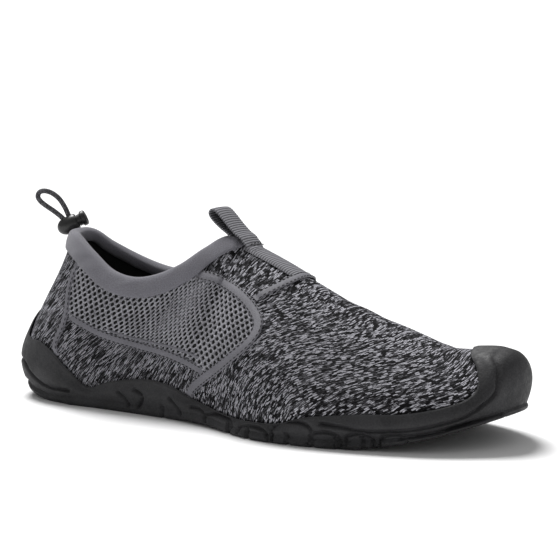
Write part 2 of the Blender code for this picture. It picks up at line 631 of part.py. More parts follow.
def build_tapes(material):
    for side, word in ((-1, "lateral"), (1, "medial")):
        tape(f"quarter_tape_{word}", route_points(QUARTER_TAPE, side), QUARTER_TAPE_WIDTH, 22, material)
        tape(f"lower_tape_{word}", route_points(LOWER_TAPE, side), LOWER_TAPE_WIDTH, 14, material)
        tape(f"heel_tape_{word}", route_points(HEEL_TAPE, side), HEEL_TAPE_WIDTH, 10, material)
    over = np.vstack([route_points(INSTEP_TAPE, -1), route_points(INSTEP_TAPE[:-1], 1)[::-1]])
    tape("instep_tape", over, INSTEP_TAPE_WIDTH, 21, material)


def below_binding(q, side):
    """Share of the wall just under the binding's lower edge, at shares q of one side."""
    point, out, down = topline_frames()
    u, w = seat(point + down * (BINDING_DEPTH + PANEL_MARGIN))
    u = np.mod(u, 2.0)
    here = u <= 1.0 if side < 0 else u >= 1.0
    share = u[here] if side < 0 else 2.0 - u[here]
    order = np.argsort(share)
    return np.interp(q, share[order], w[here][order])


def build_mesh_panel(side, word, material):
    """The panel's grid is blended between its four edges."""
    columns, rows = 15, 7
    q = np.linspace(*MESH_TOP, 8)
    high = smooth_route(np.vstack([np.column_stack([q, below_binding(q, side)]), MESH_SHOULDER]), columns)
    low = smooth_route(MESH_BOTTOM, columns)
    back, front = smooth_route(MESH_BACK + [high[0]], rows), smooth_route(MESH_FRONT, rows)
    s = np.linspace(0.0, 1.0, columns)[:, None, None]
    t = np.linspace(0.0, 1.0, rows)[None, :, None]
    patch = (low[:, None] * (1 - t) + high[:, None] * t + back[None] * (1 - s) + front[None] * s
             - low[0] * (1 - s) * (1 - t) - low[-1] * s * (1 - t) - high[0] * (1 - s) * t - high[-1] * s * t)
    u = patch[..., 0] if side < 0 else 2.0 - patch[..., 0]
    w = patch[..., 1]
    lower = raised(u, w, np.full_like(u, PANEL_GAP))
    upper = raised(u, w, np.full_like(u, PANEL_GAP + MESH_THICKNESS))
    return slab(f"mesh_panel_{word}", lower, upper, material)


def build_webbing_tail(material):
    """Webbing sewn down along the instep, from the binding to the instep tape."""
    crossing = surface(np.array(INSTEP_TAPE[-1].q), np.array(1.0))[0] - INSTEP_TAPE_WIDTH / 2
    x = np.linspace(COLLAR_FRONT + BINDING_DEPTH + PANEL_MARGIN, crossing - PANEL_MARGIN, 8)
    lower, upper = [], []
    for share in (-0.5, -0.25, 0.0, 0.25, 0.5):
        fall = WEBBING_CAMBER * share**2
        target = np.column_stack([x, np.full_like(x, share * WEBBING_WIDTH), ridge_height(x) - fall])
        u, w = seat(target)
        lower.append(raised(u, w, np.full_like(u, OVERLAY_GAP)))
        upper.append(raised(u, w, np.full_like(u, OVERLAY_GAP + WEBBING_THICKNESS)))
    return slab("webbing_tail", np.stack(lower, 1), np.stack(upper, 1), material)


def build_pull_loop(material):
    """Free loop of webbing standing up from the throat."""
    base_x = COLLAR_FRONT + WEBBING_WIDTH * np.array(LOOP_BASE)
    over_tail = OVERLAY_GAP + 1.5 * WEBBING_THICKNESS + 2 * GAP
    over_binding = BINDING_GAP + BINDING_THICKNESS + 3 * GAP + WEBBING_THICKNESS / 2
    lift = np.array([over_tail, over_binding, over_binding, over_binding])
    base = np.column_stack([base_x, ridge_height(base_x) + lift])
    free = np.array([(COLLAR_FRONT + f.along * WEBBING_WIDTH, THROAT_HEIGHT + f.up * WEBBING_WIDTH) for f in LOOP])
    line = smooth_route(np.vstack([base, free]), 30)
    run = np.gradient(line, axis=0)
    over = np.column_stack([-run[:, 1], run[:, 0]])
    over /= np.linalg.norm(over, axis=1, keepdims=True)
    sheets = []
    for sign in (-0.5, 0.5):
        path = line + over * sign * WEBBING_THICKNESS
        ends = [np.column_stack([path[:, 0], np.full(len(path), y), path[:, 1]])
                for y in (-WEBBING_WIDTH / 2, 0.0, WEBBING_WIDTH / 2)]
        sheets.append(np.stack(ends, 1))
    return slab("pull_loop", sheets[0], sheets[1], material)


def lock_frame():
    """The lock's axis, its upward and its viewer-facing directions."""
    axis = Vector(LOCK_AXIS).normalized()
    facing = Vector(LOCK_FACING)
    facing = (facing - axis * facing.dot(axis)).normalized()
    return axis, facing.cross(axis), facing


def lock_point(a, h, b):
    axis, up, facing = lock_frame()
    return Vector(LOCK_CENTRE) + axis * a + up * h + facing * b


def turned(name, profile, material, sides=16):
    """Solid of revolution on the lock's axis, from (place, radius) pairs."""
    shell = bmesh.new()
    lines = []
    for k in range(sides):
        angle = 2 * math.pi * k / sides
        lines.append([lock_point(a, r * math.cos(angle), r * math.sin(angle)) for a, r in profile])
    add_sheet(shell, np.array(lines), closed=True)
    return finish(shell, name, material)


def strand_slot(name, start, end):
    """Cutter for the slot through which the two strands pass."""
    half = CORD_DIAMETER / 2 + PLUNGER_CLEARANCE
    shell = bmesh.new()
    low, high = [], []
    for h, line in ((-2 * LOCK_RADIUS, low), (2 * LOCK_RADIUS, high)):
        for a, b in ((start, -half), (end, -half), (end, half), (start, half)):
            line.append(shell.verts.new(lock_point(a, h, b)))
    shell.faces.new(low)
    shell.faces.new(high[::-1])
    for k in range(4):
        n = (k + 1) % 4
        shell.faces.new((low[k], low[n], high[n], high[k]))
    return cutter_object(shell, name)


def cut_slot(thing, cutter):
    cut = thing.modifiers.new("slot", "BOOLEAN")
    cut.operation = "DIFFERENCE"
    cut.solver = "EXACT"
    cut.object = cutter


def build_lock(material):
    reach = STRAND_SPACING / 2 + CORD_DIAMETER / 2 + PLUNGER_CLEARANCE
    dome = [(-LOCK_BACK * math.cos(t) ** 0.9, LOCK_RADIUS * math.sin(t)) for t in np.linspace(0, math.pi / 2, 8)]
    profile = dome + [(0.5 * LOCK_FRONT, 0.97 * LOCK_RADIUS), (0.9 * LOCK_FRONT, 0.90 * LOCK_RADIUS),
                      (LOCK_FRONT, 0.84 * LOCK_RADIUS), (LOCK_FRONT, BORE_RADIUS), (-BORE_END, BORE_RADIUS),
                      (-BORE_END, 0.0)]
    barrel = turned("lock_barrel", profile, material)
    cut_slot(barrel, strand_slot("barrel_slot", -reach, reach))
    shaft = BORE_RADIUS - PLUNGER_CLEARANCE
    inner_end = -BORE_END + PLUNGER_TRAVEL + PLUNGER_CLEARANCE
    head = LOCK_FRONT + PLUNGER_TRAVEL + PLUNGER_CLEARANCE
    tip = head + PLUNGER_HEAD_LENGTH
    rim = 0.19 * PLUNGER_HEAD_LENGTH
    profile = [(inner_end, 0.0), (inner_end, shaft), (head, shaft), (head, 0.92 * PLUNGER_HEAD),
               (head + rim, PLUNGER_HEAD), (tip - rim, PLUNGER_HEAD), (tip, 0.85 * PLUNGER_HEAD),
               (tip, 0.68 * PLUNGER_HEAD), (tip - 1.5 * rim, 0.50 * PLUNGER_HEAD), (tip - 2 * rim, 0.0)]
    plunger = turned("lock_plunger", profile, material)
    cut_slot(plunger, strand_slot("plunger_slot", inner_end - PLUNGER_TRAVEL, reach + PLUNGER_TRAVEL))


def strand_end(a, step):
    """Where a strand of the cord comes out of the binding; step 1 is a little way out."""
    u, w = seat([lock_point(a, STRAND_DROP, 0.0)])
    clear = BINDING_GAP + BINDING_THICKNESS + STRAND_CLEARANCE
    return raised(u, w, np.array([clear + step * STRAND_STEP]))[0]


def build_drawcord(material):
    """Two strands through the lock and the loop above it, in one piece."""
    half = STRAND_SPACING / 2
    through = [lock_point(half, rise, 0.0) for rise in (-STRAND_RUN, 0.0, STRAND_RUN)]
    loop = [lock_point(bend.along * CORD_DIAMETER, bend.up * CORD_DIAMETER, 0.0) for bend in CORD_LOOP]
    back = [lock_point(-half, rise, 0.0) for rise in (STRAND_RUN, 0.0, -STRAND_RUN)]
    route = [strand_end(half, 0), strand_end(half, 1), *through, *loop, *back, strand_end(-half, 1),
             strand_end(-half, 0)]
    points = smooth_route(route, CORD_POINTS)
    curve = bpy.data.curves.new("drawcord", "CURVE")
    curve.dimensions = "3D"
    curve.bevel_depth = CORD_DIAMETER / 2
    curve.bevel_resolution = 2
    curve.use_fill_caps = True
    spline = curve.splines.new("POLY")
    spline.points.add(len(points) - 1)
    for spot, place in zip(spline.points, points):
        spot.co = (place[0] - ORIGIN_X, place[1], place[2], 1.0)
    curve.materials.append(material)
    cord = bpy.data.objects.new("drawcord", curve)
    bpy.context.collection.objects.link(cord)
    return cord


def main():
    clear_scene()
    rubber = paint("rubber", (0.026, 0.025, 0.027), 0.6)
    knit = paint("knit", (0.060, 0.060, 0.062), 0.9)
    foam = paint("insole_foam", (0.020, 0.020, 0.021), 0.9)
    padding = paint("binding_cloth", (0.150, 0.148, 0.165), 0.8)
    tape_cloth = paint("tape_cloth", (0.165, 0.162, 0.180), 0.6)
    spacer = paint("spacer_mesh", (0.170, 0.170, 0.175), 0.9)
    webbing = paint("webbing", (0.120, 0.120, 0.124), 0.9)
    plastic = paint("lock_plastic", (0.012, 0.012, 0.013), 0.35)
    braid = paint("cord_braid", (0.050, 0.050, 0.052), 0.9)
    build_outsole(rubber)
    build_insole(foam)
    build_upper(knit)
    build_binding(padding)
    build_tapes(tape_cloth)
    build_mesh_panel(-1, "lateral", spacer)
    build_mesh_panel(1, "medial", spacer)
    build_webbing_tail(webbing)
    build_pull_loop(webbing)
    build_lock(plastic)
    build_drawcord(braid)


main()
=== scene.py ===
import math
from collections import namedtuple

import bpy
import numpy as np
from mathutils import Matrix, Vector


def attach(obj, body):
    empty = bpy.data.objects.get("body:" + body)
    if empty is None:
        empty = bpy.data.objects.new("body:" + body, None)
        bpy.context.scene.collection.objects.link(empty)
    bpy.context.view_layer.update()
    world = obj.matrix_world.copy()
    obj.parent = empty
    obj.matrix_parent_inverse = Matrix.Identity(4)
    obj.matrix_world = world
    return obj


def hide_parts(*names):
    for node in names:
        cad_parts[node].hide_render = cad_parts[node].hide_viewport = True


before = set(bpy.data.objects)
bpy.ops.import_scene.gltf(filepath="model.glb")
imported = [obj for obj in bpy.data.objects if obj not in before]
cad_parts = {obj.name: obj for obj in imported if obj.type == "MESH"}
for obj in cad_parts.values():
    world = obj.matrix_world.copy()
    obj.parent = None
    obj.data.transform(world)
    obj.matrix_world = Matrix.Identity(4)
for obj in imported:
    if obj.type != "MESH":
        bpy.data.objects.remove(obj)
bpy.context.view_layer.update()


def table(kind, *rows):
    return [kind(*row) for row in rows]


# Overall size of the last
LENGTH = 0.280
ORIGIN_X = 0.057
BALL_WIDTH = 0.104
HEEL_HEIGHT = 0.085
THROAT_HEIGHT = 0.0865
COLLAR_WIDTH = 0.052
COLLAR_BACK = 0.0292
COLLAR_FRONT = 0.127
POLE_X = 0.230
ORIGIN = np.array([ORIGIN_X, 0.0, 0.0])

# Shares of the length where the heel's roll ends, the arch lifts and the toe springs
HEEL_ROLL_END = 0.125
ARCH_START, ARCH_SPAN = 0.36, 0.20
TOE_START, TOE_SPAN, TOE_POWER = 0.74, 0.26, 1.8

# Sole
SOLE_THICKNESS = 0.0056
TOE_SPRING = 0.0165
HEEL_ROLL = 0.0085
ARCH_LIFT = 0.0012
RUBBER_WALL = 0.0030
RUBBER_LIP = 0.0010
GROOVE_DEPTH = 0.0022
GROOVE_WIDTH = 0.0020
TREAD_INSET = 0.0035
SIDE_BITE = 0.0015
NOTCH_HEIGHT = 0.0065

# Upper, insole and overlays
GAP = 0.0003
UPPER_WALL = 0.0022
TUCK = 0.0026
INSOLE_THICKNESS = 0.0035
BINDING_DEPTH = 0.0085
BINDING_THICKNESS = 0.0013
BINDING_GAP = 0.0006
LINING_GAP = 0.0011
CUP_GAP = 0.0005
TAPE_THICKNESS = 0.0009
PANEL_MARGIN = 0.0012
QUARTER_TAPE_WIDTH = 0.0050
LOWER_TAPE_WIDTH = 0.0040
HEEL_TAPE_WIDTH = 0.0036
INSTEP_TAPE_WIDTH = 0.0042

# Webbing
WEBBING_WIDTH = 0.0130
WEBBING_THICKNESS = 0.0011
WEBBING_CAMBER = 0.0030

# Cord lock and drawcord
CORD_DIAMETER = 0.0026
LOCK_RADIUS = 0.0047
LOCK_BACK = 0.0065
LOCK_FRONT = 0.0045
BORE_RADIUS = 0.0034
BORE_END = 0.0030
PLUNGER_CLEARANCE = 0.0003
PLUNGER_TRAVEL = 0.0020
PLUNGER_HEAD = 0.0040
PLUNGER_HEAD_LENGTH = 0.0028
STRAND_SPACING = 0.0032
STRAND_DROP = -0.0066
STRAND_CLEARANCE = 0.0006
STRAND_STEP = 0.0016
STRAND_RUN = 0.0040
LOCK_CENTRE = (0.0200, 0.0038, 0.0854)
LOCK_AXIS = (0.75, 0.50, 0.43)
LOCK_FACING = (0.544, -0.828, 0.139)

# Shares of each side, from heel to toe, where the sections reach the throat and the toe's pole
THROAT_Q = 0.43
POLE_Q = 0.80

# Stations along each side of the topline
COLLAR_STATIONS = 19

# Plan of the sole, as shares of the length and of the ball width
Mark = namedtuple("Mark", "x y")
OUTLINE = table(Mark, (0.000, 0.000), (0.036, -0.232), (0.125, -0.328), (0.250, -0.330),
    (0.390, -0.348), (0.500, -0.415), (0.600, -0.505), (0.700, -0.500), (0.820, -0.420),
    (0.900, -0.330), (0.960, -0.195), (0.994, -0.020), (1.000, 0.090), (0.985, 0.230), (0.940, 0.350),
    (0.860, 0.445), (0.760, 0.490), (0.680, 0.480), (0.580, 0.410), (0.470, 0.335), (0.380, 0.305),
    (0.250, 0.315), (0.125, 0.320), (0.036, 0.232))
TOE_MARK = 12

# Topline: share of the way from the collar's back to its front, and height
# on each side as a share of the heel height
Topline = namedtuple("Topline", "at lateral medial")
THROAT_SHARE = THROAT_HEIGHT / HEEL_HEIGHT
TOPLINE = table(Topline, (0.00, 0.980, 0.980), (0.10, 0.975, 0.892), (0.25, 0.900, 0.798),
    (0.42, 0.793, 0.743), (0.58, 0.765, 0.743), (0.70, 0.795, 0.782), (0.82, 0.863, 0.860),
    (0.92, 0.955, 0.955), (1.00, THROAT_SHARE, THROAT_SHARE))

# Ridge of the instep: x and sideways place as shares of the length, and height as a share of the
# throat's height
Ridge = namedtuple("Ridge", "x y z")
RIDGE = table(Ridge, (0.30, 0.0, 1.36), (COLLAR_FRONT / LENGTH, 0.000, 1.000), (0.560, 0.000, 0.850),
    (0.684, 0.004, 0.670), (0.770, 0.008, 0.575), (0.850, 0.012, 0.484), (0.95, 0.016, 0.42))

# Sections: share of the way from heel to toe; bulge beyond the feather edge and its height, as
# shares of the ball width and of the section's height; reach of the top, as a share of the chord;
# aim and lean in degrees
Section = namedtuple("Section", "q bulge_lateral bulge_medial rise reach aim lean")
SECTIONS = table(Section, (0.00, 0.100, 0.100, 0.29, 0.30, 0.0, 82.0),
    (0.10, 0.100, 0.100, 0.28, 0.42, 42.0, 74.0), (0.20, 0.065, 0.065, 0.32, 0.40, 78.0, 74.0),
    (0.30, 0.080, 0.080, 0.36, 0.38, 92.0, 74.0), (0.36, 0.090, 0.090, 0.38, 0.35, 105.0, 58.0),
    (THROAT_Q, 0.100, 0.095, 0.40, 0.30, 128.0, 14.0), (0.50, 0.120, 0.105, 0.44, 0.29, 98.0, 0.0),
    (0.58, 0.135, 0.120, 0.46, 0.28, 90.0, 0.0), (0.70, 0.140, 0.135, 0.48, 0.30, 90.0, 0.0),
    (POLE_Q, 0.130, 0.135, 0.54, 0.32, 90.0, 0.0), (0.90, 0.117, 0.122, 0.52, 0.40, 132.0, 0.0),
    (1.00, 0.096, 0.096, 1.49, 0.47, 180.0, 0.0))

# Top edge of the rubber: share of the way along each side and share of the way up the wall
RubberEdge = namedtuple("RubberEdge", "q lateral medial")
RUBBER_EDGE = table(RubberEdge, (0.000, 0.435, 0.435), (0.040, 0.440, 0.440), (0.060, 0.410, 0.410),
    (0.075, 0.345, 0.345), (0.092, 0.338, 0.338), (0.120, 0.362, 0.350), (0.155, 0.325, 0.315),
    (0.198, 0.200, 0.210), (0.234, 0.080, 0.120), (0.266, 0.133, 0.160), (0.325, 0.160, 0.200),
    (0.386, 0.120, 0.170), (0.425, 0.066, 0.110), (0.476, 0.034, 0.060), (0.580, 0.034, 0.050),
    (0.623, 0.050, 0.060), (0.657, 0.100, 0.100), (0.731, 0.153, 0.150), (0.824, 0.155, 0.160),
    (0.873, 0.186, 0.190), (0.902, 0.213, 0.225), (0.918, 0.260, 0.270), (0.935, 0.400, 0.410),
    (0.948, 0.515, 0.520), (0.983, 0.620, 0.620), (1.000, 0.640, 0.640))

# Grooves across the tread: place along the length, sweep of their ends, and whether they notch the side
Groove = namedtuple("Groove", "x sweep notch")
GROOVES = table(Groove, (0.090, 0.012, 0.0), (0.165, 0.018, 0.0), (0.240, 0.018, 0.0),
    (0.390, -0.012, 1.0), (0.560, -0.018, 1.0), (0.615, -0.022, 1.0), (0.695, -0.022, 1.0),
    (0.737, -0.020, 1.0), (0.777, -0.018, 1.0), (0.817, -0.016, 1.0), (0.870, -0.013, 0.0),
    (0.925, -0.010, 0.0))

# Routes of the tapes: share of the way along the side and up the wall
Step = namedtuple("Step", "q w")
QUARTER_TAPE = table(Step, (0.386, 0.765), (0.420, 0.680), (0.451, 0.640), (0.512, 0.617),
    (0.553, 0.560), (0.563, 0.493), (0.550, 0.390), (0.506, 0.267), (0.468, 0.187), (0.432, 0.105))
LOWER_TAPE = table(Step, (0.170, 0.600), (0.217, 0.575), (0.294, 0.450), (0.382, 0.285), (0.452, 0.213))
HEEL_TAPE = table(Step, (0.131, 0.880), (0.130, 0.760), (0.145, 0.650), (0.150, 0.567), (0.152, 0.485),
    (0.150, 0.390), (0.158, 0.345))
INSTEP_TAPE = table(Step, (0.532, 0.640), (0.547, 0.723), (0.561, 0.833), (0.567, 1.000))

# Centre line of the free loop of webbing, from the front of the collar, in widths of the webbing
Fold = namedtuple("Fold", "along up")
LOOP = table(Fold, (0.500, 0.054), (0.269, 0.192), (-0.038, 0.462), (-0.385, 0.808), (-0.615, 1.000),
    (-0.808, 1.038), (-0.885, 0.900), (-0.769, 0.715), (-0.500, 0.485), (-0.231, 0.308))

# Loop of the drawcord above the lock, along the lock's axis and upwards, in diameters of the cord
Bend = namedtuple("Bend", "along up")
CORD_LOOP = table(Bend, (0.65, 3.46), (0.35, 5.54), (-0.46, 7.15), (-1.54, 8.15), (-2.62, 8.38),
    (-3.31, 7.69), (-3.19, 6.62), (-2.54, 5.31), (-1.46, 3.46))


def unit(ways):
    """Directions brought to a length of one."""
    return ways / np.linalg.norm(ways, axis=-1, keepdims=True)


def distances(line):
    """Distance of each point of a line from its start, along the line."""
    return np.concatenate([[0.0], np.cumsum(np.linalg.norm(np.diff(line, axis=0), axis=1))])


def side_share(u):
    """Share of the way from heel to toe, for places u round the shoe."""
    return np.where(u <= 1.0, u, 2.0 - u)


def both_sides(side):
    """Stations of one side carried on back to the heel along the other."""
    return np.concatenate([side, 2.0 - side[-2::-1]])


def hermite(t, start, leave, end, arrive):
    """A cubic from start to end, with its slopes at both."""
    return ((2 * t**3 - 3 * t**2 + 1) * start + (t**3 - 2 * t**2 + t) * leave
            + (3 * t**2 - 2 * t**3) * end + (t**3 - t**2) * arrive)


def smooth_curve(rows, name, at, flat_ends=True):
    """Read a smooth curve through one column of a table's rows."""
    x = np.array([row[0] for row in rows], float)
    y = np.array([getattr(row, name) for row in rows], float)
    steps = np.diff(x)
    rises = np.diff(y) / steps
    slopes = np.zeros(len(x))
    slopes[1:-1] = (rises[:-1] * steps[1:] + rises[1:] * steps[:-1]) / (steps[1:] + steps[:-1])
    if not flat_ends:
        slopes[0] = rises[0]
        slopes[-1] = rises[-1]
    at = np.clip(np.asarray(at, float), x[0], x[-1])
    i = np.clip(np.searchsorted(x, at, side="right") - 1, 0, len(x) - 2)
    h = steps[i]
    return hermite((at - x[i]) / h, y[i], h * slopes[i], y[i + 1], h * slopes[i + 1])


def root_gap(a, b):
    return np.sqrt(np.linalg.norm(b - a, axis=1))[:, None]


def closed_outline(marks, steps):
    """Round off the marks of the sole's plan into a closed curve."""
    p = np.array([(m.x * LENGTH, m.y * BALL_WIDTH) for m in marks])
    before, after, beyond = np.roll(p, 1, 0), np.roll(p, -1, 0), np.roll(p, -2, 0)
    d0, d1, d2 = root_gap(before, p), root_gap(p, after), root_gap(after, beyond)
    m1 = d1 * ((p - before) / d0 - (after - before) / (d0 + d1) + (after - p) / d1)
    m2 = d1 * ((after - p) / d1 - (beyond - p) / (d1 + d2) + (beyond - after) / d2)
    t = np.arange(steps)[None, :, None] / steps
    return hermite(t, p[:, None], m1[:, None], after[:, None], m2[:, None]).reshape(-1, 2)


PLAN_STEPS = 24
PLAN_REACH = 0.006
PLAN = closed_outline(OUTLINE, PLAN_STEPS)
PLAN_LOOP = np.vstack([PLAN, PLAN[:1]])
RUN = distances(PLAN_LOOP)
TOE_RUN = RUN[TOE_MARK * PLAN_STEPS]


def plan_point(u):
    run = np.where(u <= 1.0, u * TOE_RUN, TOE_RUN + (u - 1.0) * (RUN[-1] - TOE_RUN))
    return np.stack([np.interp(run, RUN, PLAN_LOOP[:, 0]), np.interp(run, RUN, PLAN_LOOP[:, 1])], -1)


def plan(u, inset=0.0):
    """Points of the sole's plan, moved inwards by inset, and their outward directions."""
    u = np.mod(np.asarray(u, float), 2.0)
    here = plan_point(u)
    step = plan_point(np.mod(u + PLAN_REACH, 2.0)) - plan_point(np.mod(u - PLAN_REACH, 2.0))
    out = unit(np.stack([step[..., 1], -step[..., 0]], -1))
    return here - out * np.asarray(inset)[..., None], out


def ground(x):
    """Height of the tread's underside above the floor."""
    share = np.asarray(x, float) / LENGTH
    heel = HEEL_ROLL * np.clip((HEEL_ROLL_END - share) / HEEL_ROLL_END, 0, 1) ** 2
    arch = ARCH_LIFT * np.sin(np.pi * np.clip((share - ARCH_START) / ARCH_SPAN, 0, 1)) ** 2
    toe = TOE_SPRING * np.clip((share - TOE_START) / TOE_SPAN, 0, 1) ** TOE_POWER
    return heel + arch + toe


def floor(x):
    """Height of the cup's floor, on which the upper's feather edge stands."""
    return SOLE_THICKNESS + ground(x)


def mean_x(q):
    return (plan(q)[0][..., 0] + plan(2.0 - q)[0][..., 0]) / 2.0


def ridge_slope(x):
    h = 0.001
    return (ridge_height(x + h) - ridge_height(x - h)) / (2 * h)


def ridge_height(x):
    return THROAT_HEIGHT * smooth_curve(RIDGE, "z", x / LENGTH, flat_ends=False)


def top_edge(q, side):
    """Point and direction in which a section ends, on the topline or on the ridge."""
    phi = np.pi * np.clip(q / THROAT_Q, 0.0, 1.0)
    middle, half = (COLLAR_BACK + COLLAR_FRONT) / 2.0, (COLLAR_FRONT - COLLAR_BACK) / 2.0
    x_rim = middle - half * np.cos(phi)
    share = (x_rim - COLLAR_BACK) / (2.0 * half)
    z_rim = HEEL_HEIGHT * np.where(side < 0, smooth_curve(TOPLINE, "lateral", share),
                                   smooth_curve(TOPLINE, "medial", share))
    y_rim = side * COLLAR_WIDTH / 2.0 * np.sin(phi)
    start, end = mean_x(np.array(THROAT_Q)), mean_x(np.array(POLE_Q))
    x_ridge = COLLAR_FRONT + (POLE_X - COLLAR_FRONT) * np.clip((mean_x(q) - start) / (end - start), 0.0, 1.0)
    y_ridge = LENGTH * smooth_curve(RIDGE, "y", x_ridge / LENGTH)
    z_ridge = ridge_height(x_ridge)
    on_rim = q < THROAT_Q - 1e-9
    top = np.stack([np.where(on_rim, x_rim, x_ridge), np.where(on_rim, y_rim, y_ridge),
                    np.where(on_rim, z_rim, z_ridge)], -1)
    aim = np.radians(smooth_curve(SECTIONS, "aim", q, flat_ends=False))
    lean = np.radians(smooth_curve(SECTIONS, "lean", q))
    rise = np.where(on_rim, np.tan(lean), ridge_slope(x_ridge) * np.cos(aim))
    way = np.stack([np.cos(aim), -side * np.sin(aim), rise], -1)
    return top, unit(way)


def surface(u, w):
    """Outer face of the upper: u runs round the shoe, w up the wall."""
    u, w = np.broadcast_arrays(np.mod(np.asarray(u, float), 2.0), np.asarray(w, float))
    side = np.where(u <= 1.0, -1.0, 1.0)
    q = side_share(u)
    flat, out = plan(u, RUBBER_WALL + GAP + TUCK)
    feather = np.concatenate([flat, floor(flat[..., 0])[..., None]], -1)
    outward = np.concatenate([out, np.zeros_like(out[..., :1])], -1)
    top, way = top_edge(q, side)
    bulge = BALL_WIDTH * np.where(side < 0, smooth_curve(SECTIONS, "bulge_lateral", q),
                                  smooth_curve(SECTIONS, "bulge_medial", q))
    tall = top[..., 2] - feather[..., 2]
    rise = tall * smooth_curve(SECTIONS, "rise", q)
    reach = smooth_curve(SECTIONS, "reach", q) * np.linalg.norm(top - feather, axis=-1)
    low = feather + outward * bulge[..., None] + np.array([0.0, 0.0, 1.0]) * rise[..., None]
    high = top - way * reach[..., None]
    t = w[..., None]
    return (1 - t)**3 * feather + 3 * (1 - t)**2 * t * low + 3 * (1 - t) * t**2 * high + t**3 * top


FACE_STEP = 0.002


def normal(u, w):
    """Outward directions of the upper's face; along the ridge both sides share that of the ridge."""
    u, w = np.broadcast_arrays(np.mod(np.asarray(u, float), 2.0), np.asarray(w, float))
    step = FACE_STEP
    along = surface(u + step, w) - surface(u - step, w)
    up = surface(u, np.minimum(w + step, 1.0)) - surface(u, np.maximum(w - step, 0.0))
    out = np.cross(along, up)
    q = side_share(u)
    x = surface(u, w)[..., 0]
    ridge = np.stack([-ridge_slope(x), np.zeros_like(x), np.ones_like(x)], -1)
    on_ridge = (q >= THROAT_Q - 1e-9) & (w > 1.0 - 1e-9)
    out = np.where(on_ridge[..., None], ridge, out)
    return unit(out)


def raised(u, w, height):
    """Points at a height above the upper's outer face, negative for inside it."""
    return surface(u, w) + normal(u, w) * np.asarray(height)[..., None]


SEAT_U = np.linspace(0.0, 2.0, 161)[:-1]
SEAT_W = np.linspace(0.0, 1.0, 31)
SEAT_STEP = 0.001
SEAT_ROUNDS = 10
SEAT_LIMIT_U, SEAT_LIMIT_W = 0.02, 0.05


def seat(points):
    """Find where points lie nearest on the upper's face."""
    points = np.atleast_2d(points)
    grid_u, grid_w = np.meshgrid(SEAT_U, SEAT_W, indexing="ij")
    cloud = surface(grid_u, grid_w).reshape(-1, 3)
    nearest = [int(np.argmin(np.sum((cloud - p) ** 2, axis=1))) for p in points]
    u, w = grid_u.ravel()[nearest], grid_w.ravel()[nearest]
    step = SEAT_STEP
    for _ in range(SEAT_ROUNDS):
        here = surface(u, w)
        along = (surface(u + step, w) - surface(u - step, w)) / (2 * step)
        high, low = np.minimum(w + step, 1.0), np.maximum(w - step, 0.0)
        up = (surface(u, high) - surface(u, low)) / (high - low)[:, None]
        miss = points - here
        a, b, c = np.sum(along**2, 1) + 1e-12, np.sum(along * up, 1), np.sum(up**2, 1)
        e, f = np.sum(along * miss, 1), np.sum(up * miss, 1)
        spread = a * c - b * b + 1e-12
        u = u + np.clip((c * e - b * f) / spread, -SEAT_LIMIT_U, SEAT_LIMIT_U)
        w = np.clip(w + np.clip((a * f - b * e) / spread, -SEAT_LIMIT_W, SEAT_LIMIT_W), 0.0, 1.0)
    return u, w


ROUTE_STEPS = 24


def smooth_route(points, count):
    """Evenly spaced points on a smooth curve through a route."""
    points = np.asarray(points, float)
    before = np.vstack([2 * points[0] - points[1], points[:-1]])
    after = np.vstack([points[1:], 2 * points[-1] - points[-2]])
    slopes = (after - before) / 2.0
    t = np.linspace(0.0, 1.0, ROUTE_STEPS, endpoint=False)[None, :, None]
    p, q, m, n = points[:-1, None], points[1:, None], slopes[:-1, None], slopes[1:, None]
    fine = np.vstack([hermite(t, p, m, q, n).reshape(-1, points.shape[1]), points[-1]])
    run = distances(fine)
    at = np.linspace(0.0, run[-1], count)
    return np.stack([np.interp(at, run, fine[:, k]) for k in range(points.shape[1])], -1)


def rubber_edge(u):
    q = side_share(u)
    return np.where(u <= 1.0, smooth_curve(RUBBER_EDGE, "lateral", q),
                    smooth_curve(RUBBER_EDGE, "medial", q))


def rubber_thickness(share):
    """Thickness of the rubber wall, from its thin top edge down."""
    t = np.clip(share * 1.6, 0.0, 1.0)
    return RUBBER_LIP + (RUBBER_WALL - RUBBER_LIP) * t * t * (3 - 2 * t)


def half_widths(x):
    """Lateral and medial edges of the plan at x."""
    q = np.linspace(0.0, 1.0, 200)
    lateral, medial = plan(q)[0], plan(2.0 - q)[0]
    return np.interp(x, lateral[:, 0], lateral[:, 1]), np.interp(x, medial[:, 0], medial[:, 1])


def topline_frames():
    """Points round the topline with their down-the-wall directions."""
    lateral = np.linspace(0.0, THROAT_Q, COLLAR_STATIONS + 1)
    u = np.concatenate([lateral, 2.0 - lateral[-2:0:-1]])
    point = surface(u, np.ones_like(u))
    run = np.roll(point, -1, 0) - np.roll(point, 1, 0)
    return point, unit(np.cross(run, normal(u, np.ones_like(u))))


def below_binding(q, side):
    """Share of the wall just under the binding's lower edge, at shares q of one side."""
    point, down = topline_frames()
    u, w = seat(point + down * (BINDING_DEPTH + PANEL_MARGIN))
    u = np.mod(u, 2.0)
    here = u <= 1.0 if side < 0 else u >= 1.0
    share = u[here] if side < 0 else 2.0 - u[here]
    order = np.argsort(share)
    return np.interp(q, share[order], w[here][order])


def lock_frame():
    """The lock's axis, its upward and its viewer-facing directions."""
    axis = Vector(LOCK_AXIS).normalized()
    facing = Vector(LOCK_FACING)
    facing = (facing - axis * facing.dot(axis)).normalized()
    return axis, facing.cross(axis), facing


def lock_point(a, h, b):
    axis, up, facing = lock_frame()
    return Vector(LOCK_CENTRE) + axis * a + up * h + facing * b


